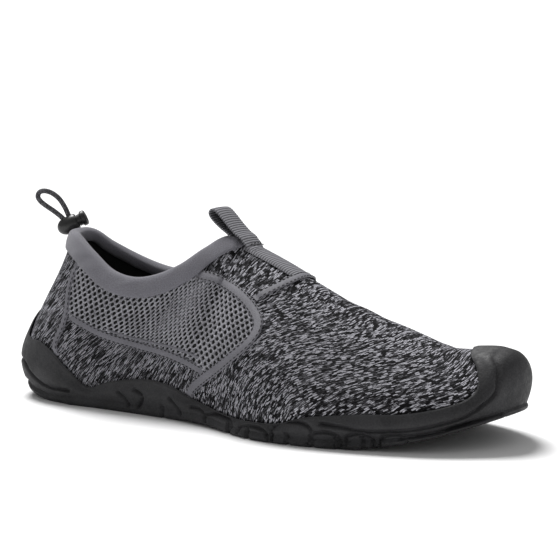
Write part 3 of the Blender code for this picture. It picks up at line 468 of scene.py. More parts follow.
def strand_end(a, step):
    """Where a strand of the cord comes out of the binding; step 1 is a little way out."""
    u, w = seat([lock_point(a, STRAND_DROP, 0.0)])
    clear = BINDING_GAP + BINDING_THICKNESS + STRAND_CLEARANCE
    return raised(u, w, np.array([clear + step * STRAND_STEP]))[0]


# Creases in the cloth: place as shares along the side and up the wall, direction in degrees,
# length, width and height in metres; a negative height is a trough
Crease = namedtuple("Crease", "q w angle length width height")
CREASES = table(Crease, (0.262, 0.690, 82, 0.0120, 0.0018, 0.00042),
    (0.279, 0.680, 85, 0.0130, 0.0015, -0.00040), (0.294, 0.690, 88, 0.0120, 0.0016, 0.00045),
    (0.309, 0.680, 92, 0.0120, 0.0015, -0.00038), (0.325, 0.690, 97, 0.0110, 0.0018, 0.00040),
    (0.345, 0.700, 103, 0.0100, 0.0020, -0.00025), (0.240, 0.700, 78, 0.0110, 0.0022, -0.00028),
    (0.215, 0.660, 70, 0.0140, 0.0030, 0.00022), (0.640, 0.880, 82, 0.0200, 0.0045, -0.00035),
    (0.672, 0.840, 78, 0.0240, 0.0050, 0.00030), (0.706, 0.860, 84, 0.0220, 0.0048, -0.00032),
    (0.580, 0.420, 40, 0.0180, 0.0050, 0.00028), (0.500, 0.200, 35, 0.0200, 0.0040, -0.00022),
    (0.100, 0.550, 60, 0.0140, 0.0035, -0.00028), (0.080, 0.720, 75, 0.0120, 0.0032, 0.00022),
    (0.470, 0.740, 20, 0.0140, 0.0045, -0.00015))
SIDE_LENGTH = 0.240
WALL_LENGTH = 0.085

# Thread directions of the knit, in degrees from the floor
HEEL_THREAD = 64.0
VAMP_THREAD = 40.0
QUARTER_THREAD = 56.0
LEAN_START = 0.008
LEAN_END = 0.040
THREAD_TURN_START, THREAD_TURN_RUN = 0.120, 0.070
VAMP_PACKING, VAMP_STRETCH = 0.62, 0.8

# Border of the heel's and the vamp's knit: share up the wall, and share along the side
THREAD_BORDER = [(0.0, 0.400), (0.105, 0.432), (0.187, 0.468), (0.267, 0.506), (0.39, 0.550),
                 (0.50, 0.560), (0.62, 0.510), (0.68, 0.420), (0.765, 0.386), (1.0, 0.370)]

# Pitch of the holes in the spacer mesh, and the size of a hole
HOLE_PITCH = 0.0035
HOLE_ROW = 0.0022
HOLE_WIDTH = 0.00210
HOLE_HEIGHT = 0.00225
NET_TILT = math.radians(-3.0)
NET_BASE = 0.00012
NET_CREST = 0.00085

STITCH_PITCH = 0.0026
STITCH_LENGTH = 0.0017
STITCH_RADIUS = 0.00030
STITCH_AHEAD = 0.0004
RIB_PITCH = 0.00135
RIB_HEIGHT = 0.00016

# Channels moulded into the side of the rubber: shares along the side and heights above the floor
Spot = namedtuple("Spot", "q z")
CHANNELS = [
    table(Spot, (0.690, 0.0119), (0.719, 0.0111), (0.758, 0.0096), (0.814, 0.0110), (0.853, 0.0135),
          (0.890, 0.0170), (0.922, 0.0232), (0.937, 0.0267), (0.946, 0.0318), (0.956, 0.0367),
          (0.963, 0.0403), (0.975, 0.0430), (1.000, 0.0450)),
    table(Spot, (0.800, 0.0066), (0.854, 0.0099), (0.883, 0.0129), (0.934, 0.0158), (0.955, 0.0166)),
    table(Spot, (0.000, 0.0195), (0.070, 0.0190), (0.101, 0.0176), (0.120, 0.0130), (0.152, 0.0083),
          (0.201, 0.0073)),
    table(Spot, (0.295, 0.0100), (0.306, 0.0075), (0.313, 0.0040)),
    table(Spot, (0.324, 0.0125), (0.336, 0.0110), (0.341, 0.0085), (0.337, 0.0060), (0.331, 0.0036)),
    table(Spot, (0.392, 0.0108), (0.403, 0.0079), (0.414, 0.0036)),
    table(Spot, (0.434, 0.0084), (0.450, 0.0084), (0.463, 0.0070), (0.468, 0.0030)),
    table(Spot, (0.471, 0.0066), (0.490, 0.0078), (0.512, 0.0072), (0.530, 0.0050), (0.524, 0.0016)),
    table(Spot, (0.545, 0.0022), (0.552, 0.0052), (0.575, 0.0064), (0.598, 0.0055), (0.605, 0.0016)),
    table(Spot, (0.612, 0.0014), (0.613, 0.0068), (0.624, 0.0102), (0.642, 0.0114), (0.662, 0.0112),
          (0.674, 0.0092), (0.676, 0.0056), (0.668, 0.0014)),
    table(Spot, (0.678, 0.0070), (0.696, 0.0080), (0.712, 0.0066), (0.719, 0.0016)),
    table(Spot, (0.724, 0.0020), (0.727, 0.0064), (0.744, 0.0083), (0.760, 0.0066), (0.764, 0.0026)),
    table(Spot, (0.772, 0.0026), (0.776, 0.0070), (0.792, 0.0086), (0.808, 0.0074), (0.812, 0.0040))]
CHANNEL_DEPTH = 0.0017
CHANNEL_WIDTH = 0.0008
CHANNEL_POINTS = 240

# Upper edge of the heel's tread lug, below which the wall steps in
HEEL_LUG = table(Spot, (0.000, 0.0125), (0.066, 0.0112), (0.099, 0.0090), (0.136, 0.0057),
    (0.185, 0.0017), (0.215, -0.0020))
LUG_STEP = 0.0012
LUG_SLOPE = 0.0006
SIPE_PITCH = 0.0046
SIPE_DEPTH = 0.0006

# Tread: width of a groove's slope; where a groove that doesn't notch the side ends, and over how
# much it runs out; the wave of the sipes, their half width and slope, and the field they fill
GROOVE_SLOPE = 0.0006
GROOVE_END, GROOVE_END_RUN = 0.965, 0.02
SIPE_WAVE, SIPE_WAVE_RUN = 0.0014, 0.0042
SIPE_HALF, SIPE_SLOPE = 0.00065, 0.0004
SIPE_FIELD, SIPE_FIELD_RUN = 0.88, 0.03

# Rubber wall: how its lip rounds off, the drop at which the tread's edge starts, and its inset there
LIP_ROUNDING, LIP_RUN = 0.35, 0.06
EDGE_DROP = 0.45
EDGE_INSET = [(0.0, 0.0019), (EDGE_DROP, 0.0019), (0.80, 0.0023), (0.93, 0.0028), (1.0, TREAD_INSET)]
NOTCH_SLOPE = 0.0008
FLOOR_GAP = 0.0001

# Camera: where the photograph was taken from
CAMERA_AZIMUTH = math.radians(33.3)
CAMERA_ELEVATION = math.radians(8.0)
CAMERA_DISTANCE = 1.000
CAMERA_TARGET = (0.1522, 0.0, 0.0673)
SENSOR = 36.0
LENS = 133.84

# Light: strength of the sky; strength, spread in degrees and direction of the softbox
WORLD_STRENGTH = 0.38
KEY_STRENGTH = 3.7
KEY_SPREAD = 24.0
KEY_WAY = (0.46, -0.30, -1.0)


def relief(u, w):
    """Height of the cloth's creases above the plain form."""
    u = np.mod(np.asarray(u, float), 2.0)
    q = side_share(u)
    total = np.zeros(np.broadcast(q, w).shape)
    for crease in CREASES:
        s, h = (q - crease.q) * SIDE_LENGTH, (w - crease.w) * WALL_LENGTH
        turn = math.radians(crease.angle)
        along, over = s * math.cos(turn) + h * math.sin(turn), h * math.cos(turn) - s * math.sin(turn)
        total += crease.height * np.exp(-(along / crease.length) ** 2 - (over / crease.width) ** 2)
    return total


def skin(u, w, height=0.0):
    """Points at a height above the creased cloth."""
    u, w = np.broadcast_arrays(np.asarray(u, float), np.asarray(w, float))
    return raised(u, w, relief(u, w) + height)


def lay_grid(name, points, uv=None):
    """A grid added in the window and laid over points, in rows and columns."""
    rows, columns = points.shape[:2]
    bpy.ops.object.select_all(action="DESELECT")
    bpy.ops.mesh.primitive_grid_add(x_subdivisions=columns - 1, y_subdivisions=rows - 1, calc_uvs=True)
    piece = bpy.context.object
    piece.name = piece.data.name = name
    placed = points.reshape(-1, 3) - ORIGIN
    piece.data.vertices.foreach_set("co", placed.astype(np.float32).ravel())
    if uv is not None:
        corners = np.zeros(len(piece.data.loops), int)
        piece.data.loops.foreach_get("vertex_index", corners)
        flat = uv.reshape(-1, 2)[corners].astype(np.float32)
        piece.data.uv_layers.active.data.foreach_set("uv", flat.ravel())
    piece.data.update()
    return piece


MERGE_DISTANCE = 2e-6


def pick(piece):
    bpy.ops.object.select_all(action="DESELECT")
    piece.select_set(True)
    bpy.context.view_layer.objects.active = piece


def edit(piece):
    pick(piece)
    bpy.ops.object.mode_set(mode="EDIT")
    bpy.ops.mesh.select_all(action="SELECT")


def leave_edit(outward=True):
    """Leave the editing of a piece, with its faces turned outwards."""
    if outward:
        bpy.ops.mesh.select_all(action="SELECT")
        bpy.ops.mesh.normals_make_consistent(inside=False)
    bpy.ops.object.mode_set(mode="OBJECT")


def settle(piece, modifier):
    """Apply a modifier to its piece."""
    pick(piece)
    bpy.ops.object.modifier_apply(modifier=modifier.name)
    return piece


def weld(piece, outward=True):
    """Merge the seams, and turn every face outwards."""
    edit(piece)
    bpy.ops.mesh.remove_doubles(threshold=MERGE_DISTANCE)
    leave_edit(outward)
    return piece


def fill_ends(piece):
    """Close the open ends of a tube."""
    edit(piece)
    bpy.ops.mesh.remove_doubles(threshold=MERGE_DISTANCE)
    bpy.ops.mesh.select_all(action="DESELECT")
    bpy.ops.mesh.select_mode(type="EDGE")
    bpy.ops.mesh.select_non_manifold()
    bpy.ops.mesh.edge_face_add()
    leave_edit()
    return piece


def thicken(piece, thickness, offset=-1.0, inner_slot=0):
    solid = piece.modifiers.new("wall", "SOLIDIFY")
    solid.thickness = thickness
    solid.offset = offset
    solid.material_offset = inner_slot
    return settle(piece, solid)


def smooth(piece, angle):
    pick(piece)
    bpy.ops.object.shade_smooth_by_angle(angle=math.radians(angle))
    return piece


def join(name, parts):
    bpy.ops.object.select_all(action="DESELECT")
    for part in parts:
        part.select_set(True)
    bpy.context.view_layer.objects.active = parts[0]
    bpy.ops.object.join()
    parts[0].name = parts[0].data.name = name
    return parts[0]


def dress(piece, materials, nodes, body="shoe"):
    """Give a piece its finish and its place in the frame."""
    for material in materials:
        piece.data.materials.append(material)
    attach(piece, body)
    if nodes:
        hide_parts(*nodes)
    return piece


def thread_map(u, w, points):
    """Coordinates across and along the threads of the knit, in metres."""
    q = side_share(np.mod(u, 2.0))
    border = np.interp(w, *zip(*THREAD_BORDER))
    run, lift = q * TOE_RUN, points[..., 2]
    turn = math.radians(HEEL_THREAD)
    heel = np.stack([run * math.sin(turn) - lift * math.cos(turn),
                     run * math.cos(turn) + lift * math.sin(turn)], -1)
    x = points[..., 0]
    ridge_y = LENGTH * smooth_curve(RIDGE, "y", x / LENGTH)
    down = np.hypot(points[..., 1] - ridge_y, points[..., 2] - ridge_height(x))
    blend = np.clip((x - THREAD_TURN_START) / THREAD_TURN_RUN, 0.0, 1.0)
    slope = 1.0 / np.tan(np.radians(QUARTER_THREAD + (VAMP_THREAD - QUARTER_THREAD) * blend))
    fall = np.clip(down - LEAN_START, 0.0, None)
    ramp_run = LEAN_END - LEAN_START
    bend = np.where(fall < ramp_run, fall ** 2 / (2 * ramp_run), fall - ramp_run / 2)
    vamp = np.stack([VAMP_PACKING * (x + slope * bend), down + VAMP_STRETCH * bend], -1)
    return np.where((q < border)[..., None], heel, vamp)


def fine_stations():
    return both_sides(np.concatenate([np.linspace(0.0, THROAT_Q, 64), np.linspace(THROAT_Q, POLE_Q, 71)[1:],
                                      np.linspace(POLE_Q, 1.0, 41)[1:]]))


def make_upper(knit, lining):
    """The knit upper: its face outside, its lining inside."""
    u, w = np.meshgrid(fine_stations(), np.linspace(0.0, 1.0, 61))
    points = skin(u, w)
    piece = weld(lay_grid("upper_cloth", points, thread_map(u, w, surface(u, w))), outward=False)
    for material in (knit, lining):
        piece.data.materials.append(material)
    dress(smooth(thicken(piece, UPPER_WALL, inner_slot=1), 60.0), [], ["upper"])


def section_curve(section, count):
    """A closed smooth curve through the marks of a section."""
    p = np.array(section)
    before, after, beyond = np.roll(p, 1, 0), np.roll(p, -1, 0), np.roll(p, -2, 0)
    t = (np.arange(count) / count)[None, :, None]
    q = 0.5 * (2 * p[:, None] + (after - before)[:, None] * t
               + (2 * before - 5 * p + 4 * after - beyond)[:, None] * t**2
               + (3 * p - before - 3 * after + beyond)[:, None] * t**3)
    return q.reshape(-1, 2)


# Binding: its highest point, the depth down to which it lies free of the cloth, its ripples along
# the rim, and the stronger puckers beside the heel
BINDING_TOP = -0.0018
ROLLED_OVER = 0.0002
RIPPLE_HEIGHT, RIPPLE_RUN, RIPPLE_SWELL = 0.0001, 0.0021, 0.0101
PUCKER_HEIGHT, PUCKER_Q, PUCKER_REACH = 0.00022, 0.20, 0.09


def make_binding(cloth):
    """The padded binding, rolled over the topline."""
    u = both_sides(np.linspace(0.0, THROAT_Q, 110))
    point, out = surface(u, np.ones_like(u)), normal(u, np.ones_like(u))
    loop = point[:-1]
    run = np.roll(loop, -1, 0) - np.roll(loop, 1, 0)
    down = unit(np.cross(np.vstack([run, run[:1]]), out))
    near, far, thick, deep = BINDING_GAP, -UPPER_WALL - LINING_GAP, BINDING_THICKNESS, BINDING_DEPTH
    marks = [(1.00 * deep, near + 0.15 * thick), (0.97 * deep, near + 0.65 * thick),
             (0.80 * deep, near + 0.95 * thick), (0.50 * deep, near + 1.12 * thick),
             (0.20 * deep, near + 1.05 * thick), (0.0, near + 0.75 * thick),
             (-0.0012, near + 0.1 * thick), (BINDING_TOP, -UPPER_WALL / 2), (-0.0012, far),
             (0.0, far - 0.8 * thick), (0.25 * deep, far - thick), (0.46 * deep, far - 0.6 * thick),
             (0.5 * deep, far), (0.25 * deep, far), (-0.0002, far + 0.0002), (-0.0002, near),
             (0.5 * deep, near)]
    section = section_curve(marks, 3)
    section = np.vstack([section, section[:1]])
    lines = []
    along = distances(point)
    pucker = np.exp(-((np.minimum(u, 2.0 - u) - PUCKER_Q) / PUCKER_REACH) ** 2)
    for depth, height in section:
        ripple = (RIPPLE_HEIGHT + PUCKER_HEIGHT * pucker) * np.sin(along / RIPPLE_RUN + 2.0 * depth / 0.004)
        ripple = ripple * np.sin(along / RIPPLE_SWELL + 1.0) * min(1.0, max(depth, 0) / 0.003)
        if depth <= ROLLED_OVER:
            lines.append(point + down * depth + out * (height + ripple)[:, None])
        else:
            at_u, at_w = seat(point + down * depth)
            lines.append(skin(at_u, at_w, height + ripple))
    points = np.stack(lines, 0)
    uv = np.stack(np.broadcast_arrays(along[None, :], distances(section)[:, None]), -1)
    piece = smooth(weld(lay_grid("collar_cloth", points, uv)), 60.0)
    dress(piece, [cloth], ["collar_binding"])


# Rounds of easing that take the corners out of a tape's route
TAPE_EASING = 24

# Length over which a tape thins out at its ends, how thin it gets, the thickness of its skin,
# and how far in and how high its stitches lie
TAPE_TAPER, TAPE_THIN_END = 0.004, 0.35
TAPE_SKIN = 0.00025
STITCH_INSET, STITCH_SEAT = 0.0011, 0.93

# Section of a tape: shares of its width and of its thickness
TAPE_SECTION = [(-0.50, 0.10), (-0.485, 0.62), (-0.43, 0.90), (-0.33, 0.86), (-0.20, 1.00), (0.0, 1.06),
                (0.20, 1.00), (0.33, 0.86), (0.43, 0.90), (0.485, 0.62), (0.50, 0.10)]


def tape_lines(route, count):
    """Centre of a tape, its sideways directions, the distance along it and how full it is."""
    centre = smooth_route(route, count)
    for _ in range(TAPE_EASING):
        centre[1:-1] = (centre[:-2] + 2 * centre[1:-1] + centre[2:]) / 4
    over = unit(np.cross(np.gradient(centre, axis=0), normal(*seat(centre))))
    run = distances(centre)
    ends = np.clip(np.minimum(run / TAPE_TAPER, (run[-1] - run) / TAPE_TAPER), TAPE_THIN_END, 1.0)
    return centre, over, run, ends


def make_tape(name, route, width, count, cloth, nodes, lift):
    centre, over, run, ends = tape_lines(route, count)
    rows, uv = [], []
    for share, rise in TAPE_SECTION:
        u, w = seat(centre + over * width * share)
        rows.append(skin(u, w, lift * ends + TAPE_THICKNESS * rise * ends))
        uv.append(np.column_stack([run, np.full_like(run, share * width)]))
    piece = lay_grid(name, np.stack(rows[::-1], 0), np.stack(uv[::-1], 0))
    dress(smooth(thicken(piece, TAPE_SKIN), 50.0), [cloth], nodes)
    stitches = []
    for share in (-0.5, 0.5):
        u, w = seat(centre + over * share * (width - STITCH_INSET))
        line = skin(u, w, lift * ends + TAPE_THICKNESS * STITCH_SEAT * ends)
        stitches.append((line, normal(u, w)))
    return stitches


def stitch_places(line, out):
    """Frames for stitches spread along a line."""
    run = distances(line)
    at = np.arange(STITCH_PITCH, run[-1] - STITCH_PITCH / 2, STITCH_PITCH)

    def read(values, places):
        return np.stack([np.interp(places, run, values[:, k]) for k in range(3)], -1)

    spot = read(line, at)
    return spot, unit(read(line, at + STITCH_AHEAD) - spot), unit(read(out, at))


def make_stitching(name, lines, thread):
    """One stitch modelled once, and repeated along the sewn lines."""
    bpy.ops.object.select_all(action="DESELECT")
    bpy.ops.mesh.primitive_uv_sphere_add(segments=6, ring_count=5, radius=1.0)
    stitch = bpy.context.object
    shape = np.zeros(len(stitch.data.vertices) * 3)
    stitch.data.vertices.foreach_get("co", shape)
    shape = shape.reshape(-1, 3) * np.array([STITCH_RADIUS, STITCH_RADIUS, STITCH_LENGTH / 2])
    faces = [list(face.vertices) for face in stitch.data.polygons]
    bpy.data.objects.remove(stitch, do_unlink=True)
    verts, polys = [], []
    for line, out in lines:
        for spot, way, up in zip(*stitch_places(line, out)):
            over = np.cross(up, way)
            base = len(verts)
            verts.extend(spot + shape[:, :1] * over + shape[:, 1:2] * up + shape[:, 2:] * way - ORIGIN)
            polys.extend([[base + k for k in face] for face in faces])
    mesh = bpy.data.meshes.new(name)
    mesh.from_pydata([tuple(v) for v in verts], [], polys)
    piece = bpy.data.objects.new(name, mesh)
    bpy.context.collection.objects.link(piece)
    dress(smooth(piece, 60.0), [thread], [])


# Thin piping above the lower tape
PIPING_RISE = 0.045
PIPING_WIDTH = 0.0012

# Where the quarter tape comes out from under the binding
TAPE_TOP = table(Step, (0.346, 0.865), (0.356, 0.830), (0.374, 0.775), (0.402, 0.700))


def route_steps(steps, side, low=None, high=None):
    """A tape's route on one side, run on under the rubber and the binding where it meets them."""
    marks = list(steps)
    if high is not None:
        marks = [high] + marks
    if low is not None:
        marks = marks + [low]
    u = np.array([s.q if side < 0 else 2.0 - s.q for s in marks])
    return surface(u, np.array([s.w for s in marks]))


def make_tapes(cloth, thread):
    for side, word in ((-1, "lateral"), (1, "medial")):
        foot, heel_foot = rubber_edge(np.array([q if side < 0 else 2.0 - q for q in (0.425, 0.158)]))
        quarter = route_steps(TAPE_TOP + QUARTER_TAPE[2:], side, Step(0.426, foot))
        lower = route_steps(LOWER_TAPE[1:-1], side, Step(0.458, 0.200), Step(0.155, 0.612))
        piping = route_steps([Step(step.q, step.w + PIPING_RISE) for step in LOWER_TAPE[1:]], side)
        heel = route_steps(HEEL_TAPE[1:-1], side, Step(0.164, heel_foot - 0.01), Step(0.126, 0.900))
        lines = make_tape(f"quarter_band_{word}", quarter, QUARTER_TAPE_WIDTH, 120, cloth,
                          [f"quarter_tape_{word}"], lift=0.0003)
        lines += make_tape(f"lower_band_{word}", lower, LOWER_TAPE_WIDTH, 70, cloth,
                           [f"lower_tape_{word}"], lift=0.0002)
        make_tape(f"lower_piping_{word}", piping, PIPING_WIDTH, 70, cloth, [], lift=0.0001)
        lines += make_tape(f"heel_band_{word}", heel, HEEL_TAPE_WIDTH, 60, cloth,
                           [f"heel_tape_{word}"], lift=0.0004)
        make_stitching(f"stitching_{word}", lines, thread)
    over = np.vstack([route_steps(INSTEP_TAPE, -1), route_steps(INSTEP_TAPE[:-1], 1)[::-1]])
    lines = make_tape("instep_band", over, INSTEP_TAPE_WIDTH, 90, cloth, ["instep_tape"], lift=0.0005)
    make_stitching("stitching_instep", lines, thread)


# Row of the table below on which the mesh keeps its pitch, its count of holes, where it starts
# behind and above the panel's foot, and the evenness of its threads
NET_LEVEL = 47
NET_COLUMNS, NET_ROWS = 43, 15
NET_BACK, NET_RISE, NET_FOOT = 0.002, 0.006, 0.20
NET_SEED, NET_UNEVENNESS = 7, 0.00002

# Corners of the panel under the tapes: its back from below, and its lower edge from the front
PANEL_BACK = table(Step, (0.158, 0.606), (0.147, 0.60), (0.137, 0.70), (0.127, 0.78))
PANEL_FOOT = table(Step, (0.452, 0.213), (0.382, 0.285), (0.294, 0.450), (0.219, 0.575))


def net_lengths(side):
    """Tables of distance along the panel and up the wall, to lay the mesh without stretching it."""
    q, w = np.linspace(0.12, 0.60, 97), np.linspace(0.15, 1.0, 86)
    at_q, at_w = np.meshgrid(q, w, indexing="ij")
    points = surface(at_q if side < 0 else 2.0 - at_q, at_w)
    up = np.linalg.norm(np.diff(points, axis=1), axis=-1)
    up = np.concatenate([np.zeros((len(q), 1)), np.cumsum(up, axis=1)], axis=1)
    return q, w, distances(points[:, NET_LEVEL]), up


def panel_outline(side):
    """Outline of the panel under the middle of the tapes and the binding."""
    top = np.linspace(0.128, 0.350, 9)
    edge = np.column_stack([top, below_binding(top, side) + 0.020])
    front = smooth_route(TAPE_TOP[2:] + QUARTER_TAPE[2:], 60)[:-6]
    return np.vstack([PANEL_BACK, edge, front, PANEL_FOOT])


def inside(points, outline):
    """Which points lie inside a closed outline."""
    x, y = points[:, 0], points[:, 1]
    found = np.zeros(len(points), bool)
    for (x0, y0), (x1, y1) in zip(outline, np.roll(outline, -1, 0)):
        crosses = (y0 > y) != (y1 > y)
        with np.errstate(divide="ignore", invalid="ignore"):
            found ^= crosses & (x < (x1 - x0) * (y - y0) / (y1 - y0) + x0)
    return found


def net_cell(centre_x, centre_y, materials):
    """One hole of the mesh: a plate inset to a hole that is pushed down to the backing."""
    bpy.ops.object.select_all(action="DESELECT")
    bpy.ops.mesh.primitive_circle_add(vertices=12, radius=HOLE_PITCH / 2, fill_type="NGON")
    cell = bpy.context.object
    half, step = HOLE_PITCH / 2, HOLE_ROW
    high = (half**2 + step**2) / (2 * step)
    low = high - half**2 / step
    corners = [(half, low), (0.0, high), (-half, low), (-half, -low), (0.0, -high), (half, -low)]
    ring_marks = []
    for here, there in zip(corners, corners[1:] + corners[:1]):
        ring_marks += [here, ((here[0] + there[0]) / 2, (here[1] + there[1]) / 2)]
    for vertex, (x, y) in zip(cell.data.vertices, ring_marks):
        vertex.co = (x, y, NET_CREST)
    shares = ((0.45, NET_CREST * 0.93), (0.86, NET_CREST * 0.62), (1.0, NET_BASE))
    for share, height in shares:
        edit(cell)
        bpy.ops.mesh.select_all(action="DESELECT")
        bpy.ops.object.mode_set(mode="OBJECT")
        middle = min(cell.data.polygons, key=lambda face: face.center.xy.length + (len(face.vertices) < 12))
        middle.select = True
        bpy.ops.object.mode_set(mode="EDIT")
        bpy.ops.mesh.select_mode(type="FACE")
        bpy.ops.mesh.inset(thickness=0.0001)
        bpy.ops.object.mode_set(mode="OBJECT")
        middle = next(face for face in cell.data.polygons if face.select)
        for index in middle.vertices:
            vertex = cell.data.vertices[index]
            angle = math.atan2(vertex.co.y, vertex.co.x)
            rim = min(ring_marks, key=lambda m: abs(math.remainder(
                math.atan2(m[1], m[0]) - angle, math.tau)))
            turn = math.atan2(rim[1], rim[0])
            hole = (HOLE_WIDTH / 2 * math.cos(turn), HOLE_HEIGHT / 2 * math.sin(turn))
            vertex.co = (rim[0] + (hole[0] - rim[0]) * share, rim[1] + (hole[1] - rim[1]) * share, height)
    for material in materials:
        cell.data.materials.append(material)
    for face in cell.data.polygons:
        face.material_index = 1 if len(face.vertices) == 12 else 0
        face.use_smooth = True
    cell.data.transform(Matrix.Translation((centre_x, centre_y, 0.0)))
    return cell


def repeat(piece, count, offset):
    array = piece.modifiers.new("row", "ARRAY")
    array.count = count
    array.use_relative_offset = False
    array.use_constant_offset = True
    array.constant_offset_displace = offset
    settle(piece, array)


def make_net(side, word, threads, backing):
    """The spacer mesh: one cell repeated, trimmed to the panel and laid on the cloth."""
    piece = join(f"spacer_net_{word}", [net_cell(0.0, 0.0, (threads, backing)),
                                        net_cell(HOLE_PITCH / 2, HOLE_ROW, (threads, backing))])
    repeat(piece, NET_COLUMNS, (HOLE_PITCH, 0.0, 0.0))
    repeat(piece, NET_ROWS, (0.0, 2 * HOLE_ROW, 0.0))
    weld(piece, outward=False)
    flat = np.zeros(len(piece.data.vertices) * 3)
    piece.data.vertices.foreach_get("co", flat)
    flat = flat.reshape(-1, 3)
    rng = np.random.default_rng(NET_SEED)
    q, w, along, up = net_lengths(side)
    s = flat[:, 0] * math.cos(NET_TILT) - flat[:, 1] * math.sin(NET_TILT) - NET_BACK
    h = flat[:, 0] * math.sin(NET_TILT) + flat[:, 1] * math.cos(NET_TILT) + NET_RISE
    at_q = np.interp(s, along, q)
    column = np.clip((at_q - q[0]) / (q[1] - q[0]), 0, len(q) - 1.001)
    low = column.astype(int)
    share = (column - low)[:, None]
    ladder = up[low] * (1 - share) + up[low + 1] * share
    h = h + np.interp(at_q, q, np.array([np.interp(NET_FOOT, w, row) for row in up]))
    at_w = np.array([np.interp(height, row, w) for height, row in zip(h, ladder)])
    keep = inside(np.column_stack([at_q, at_w]), panel_outline(side))
    edit(piece)
    bpy.ops.mesh.select_all(action="DESELECT")
    bpy.ops.mesh.select_mode(type="VERT")
    bpy.ops.object.mode_set(mode="OBJECT")
    heights = flat[:, 2] + rng.normal(0.0, NET_UNEVENNESS, len(flat))
    placed = skin(at_q if side < 0 else 2.0 - at_q, at_w, heights) - ORIGIN
    piece.data.vertices.foreach_set("co", placed.astype(np.float32).ravel())
    piece.data.vertices.foreach_set("select", ~keep)
    bpy.ops.object.mode_set(mode="EDIT")
    bpy.ops.mesh.delete(type="VERT")
    bpy.ops.mesh.select_all(action="SELECT")
    if side > 0:
        bpy.ops.mesh.flip_normals()
    leave_edit(outward=False)
    piece.data.update()
    dress(piece, [], [f"mesh_panel_{word}"])


def ribbed(run):
    """Height of the webbing's ribs along its length."""
    return RIB_HEIGHT * np.abs(np.sin(np.pi * run / RIB_PITCH))


# Tail of the webbing: how far it runs under the binding and past the tape's edge, its height above
# the cloth, the thickness of its skin, and its two rows of stitches
TAIL_UNDER, TAIL_PAST = 0.0005, 0.0006
TAIL_LIFT, TAIL_SKIN = 0.0004, 0.0006
TAIL_SEAMS, TAIL_SEAM_HEIGHT = (0.0018, 0.0034), 0.0032

# Sewn foot of the loop: distances from the collar in widths of the webbing, and heights in metres;
# then the last folds of its back strand, and how much its edges sag
LOOP_FOOT = np.array([0.92, 0.82, 0.72, 0.62])
LOOP_FOOT_LIFT = np.array([0.0002, 0.0011, 0.0023, 0.0030])
LOOP_END = table(Fold, (-0.040, 0.185), (0.120, 0.060))
LOOP_SAG = 0.0004
LOOP_SEWN = 0.003


def make_tail(webbing, thread):
    """Webbing sewn down along the instep."""
    crossing = surface(np.array(INSTEP_TAPE[-1].q), np.array(1.0))[0] - INSTEP_TAPE_WIDTH / 2
    x = np.linspace(COLLAR_FRONT + BINDING_DEPTH - TAIL_UNDER, crossing + TAIL_PAST, 150)
    centre = np.column_stack([x, np.zeros_like(x), ridge_height(x)])
    run = distances(centre)
    rows, uv = [], []
    for share in np.linspace(-0.5, 0.5, 13):
        place = centre + np.array([0.0, share * WEBBING_WIDTH, -WEBBING_CAMBER * share**2])
        u, w = seat(place)
        edge = 1.0 - 0.75 * (abs(share) > 0.49)
        rows.append(skin(u, w, TAIL_LIFT + WEBBING_THICKNESS * edge + ribbed(run) * edge))
        uv.append(np.column_stack([run, np.full_like(run, share * WEBBING_WIDTH)]))
    piece = lay_grid("instep_webbing", np.stack(rows, 0), np.stack(uv, 0))
    thicken(weld(piece, outward=False), TAIL_SKIN)
    dress(smooth(piece, 70.0), [webbing], ["webbing_tail"])
    lines = []
    for at in TAIL_SEAMS:
        y = np.linspace(-0.42, 0.42, 12) * WEBBING_WIDTH
        x_at = np.full_like(y, COLLAR_FRONT + BINDING_DEPTH + at)
        u, w = seat(np.column_stack([x_at, y, ridge_height(x_at)]))
        lines.append((skin(u, w, np.full_like(u, TAIL_SEAM_HEIGHT)), normal(u, w)))
    make_stitching("stitching_webbing", lines, thread)


def make_loop(webbing):
    """The free pull loop of ribbed webbing."""
    base_x = COLLAR_FRONT + WEBBING_WIDTH * LOOP_FOOT
    base = np.column_stack([base_x, ridge_height(base_x) + LOOP_FOOT_LIFT])
    free = np.array([(COLLAR_FRONT + fold.along * WEBBING_WIDTH, THROAT_HEIGHT + fold.up * WEBBING_WIDTH)
                     for fold in LOOP + LOOP_END])
    line = smooth_route(np.vstack([base, free]), 330)
    over = unit(np.column_stack([-np.gradient(line[:, 1]), np.gradient(line[:, 0])]))
    run = distances(line)
    sewn = np.clip(run / LOOP_SEWN, 0.0, 1.0)
    path = line - over * (WEBBING_THICKNESS / 2 - 0.0001 + ribbed(run))[:, None] * sewn[:, None]
    rows, uv = [], []
    for share in np.linspace(-0.5, 0.5, 11):
        sag = LOOP_SAG * (share * 2) ** 2
        across_way = np.full(len(path), share * WEBBING_WIDTH)
        rows.append(np.column_stack([path[:, 0], across_way, path[:, 1] - sag]))
        uv.append(np.column_stack([run, np.full_like(run, share * WEBBING_WIDTH)]))
    piece = lay_grid("pull_tab", np.stack(rows, 0), np.stack(uv, 0))
    thicken(weld(piece, outward=False), WEBBING_THICKNESS - 0.0002, offset=1.0)
    edit(piece)
    leave_edit()
    dress(smooth(piece, 70.0), [webbing], ["pull_loop"])


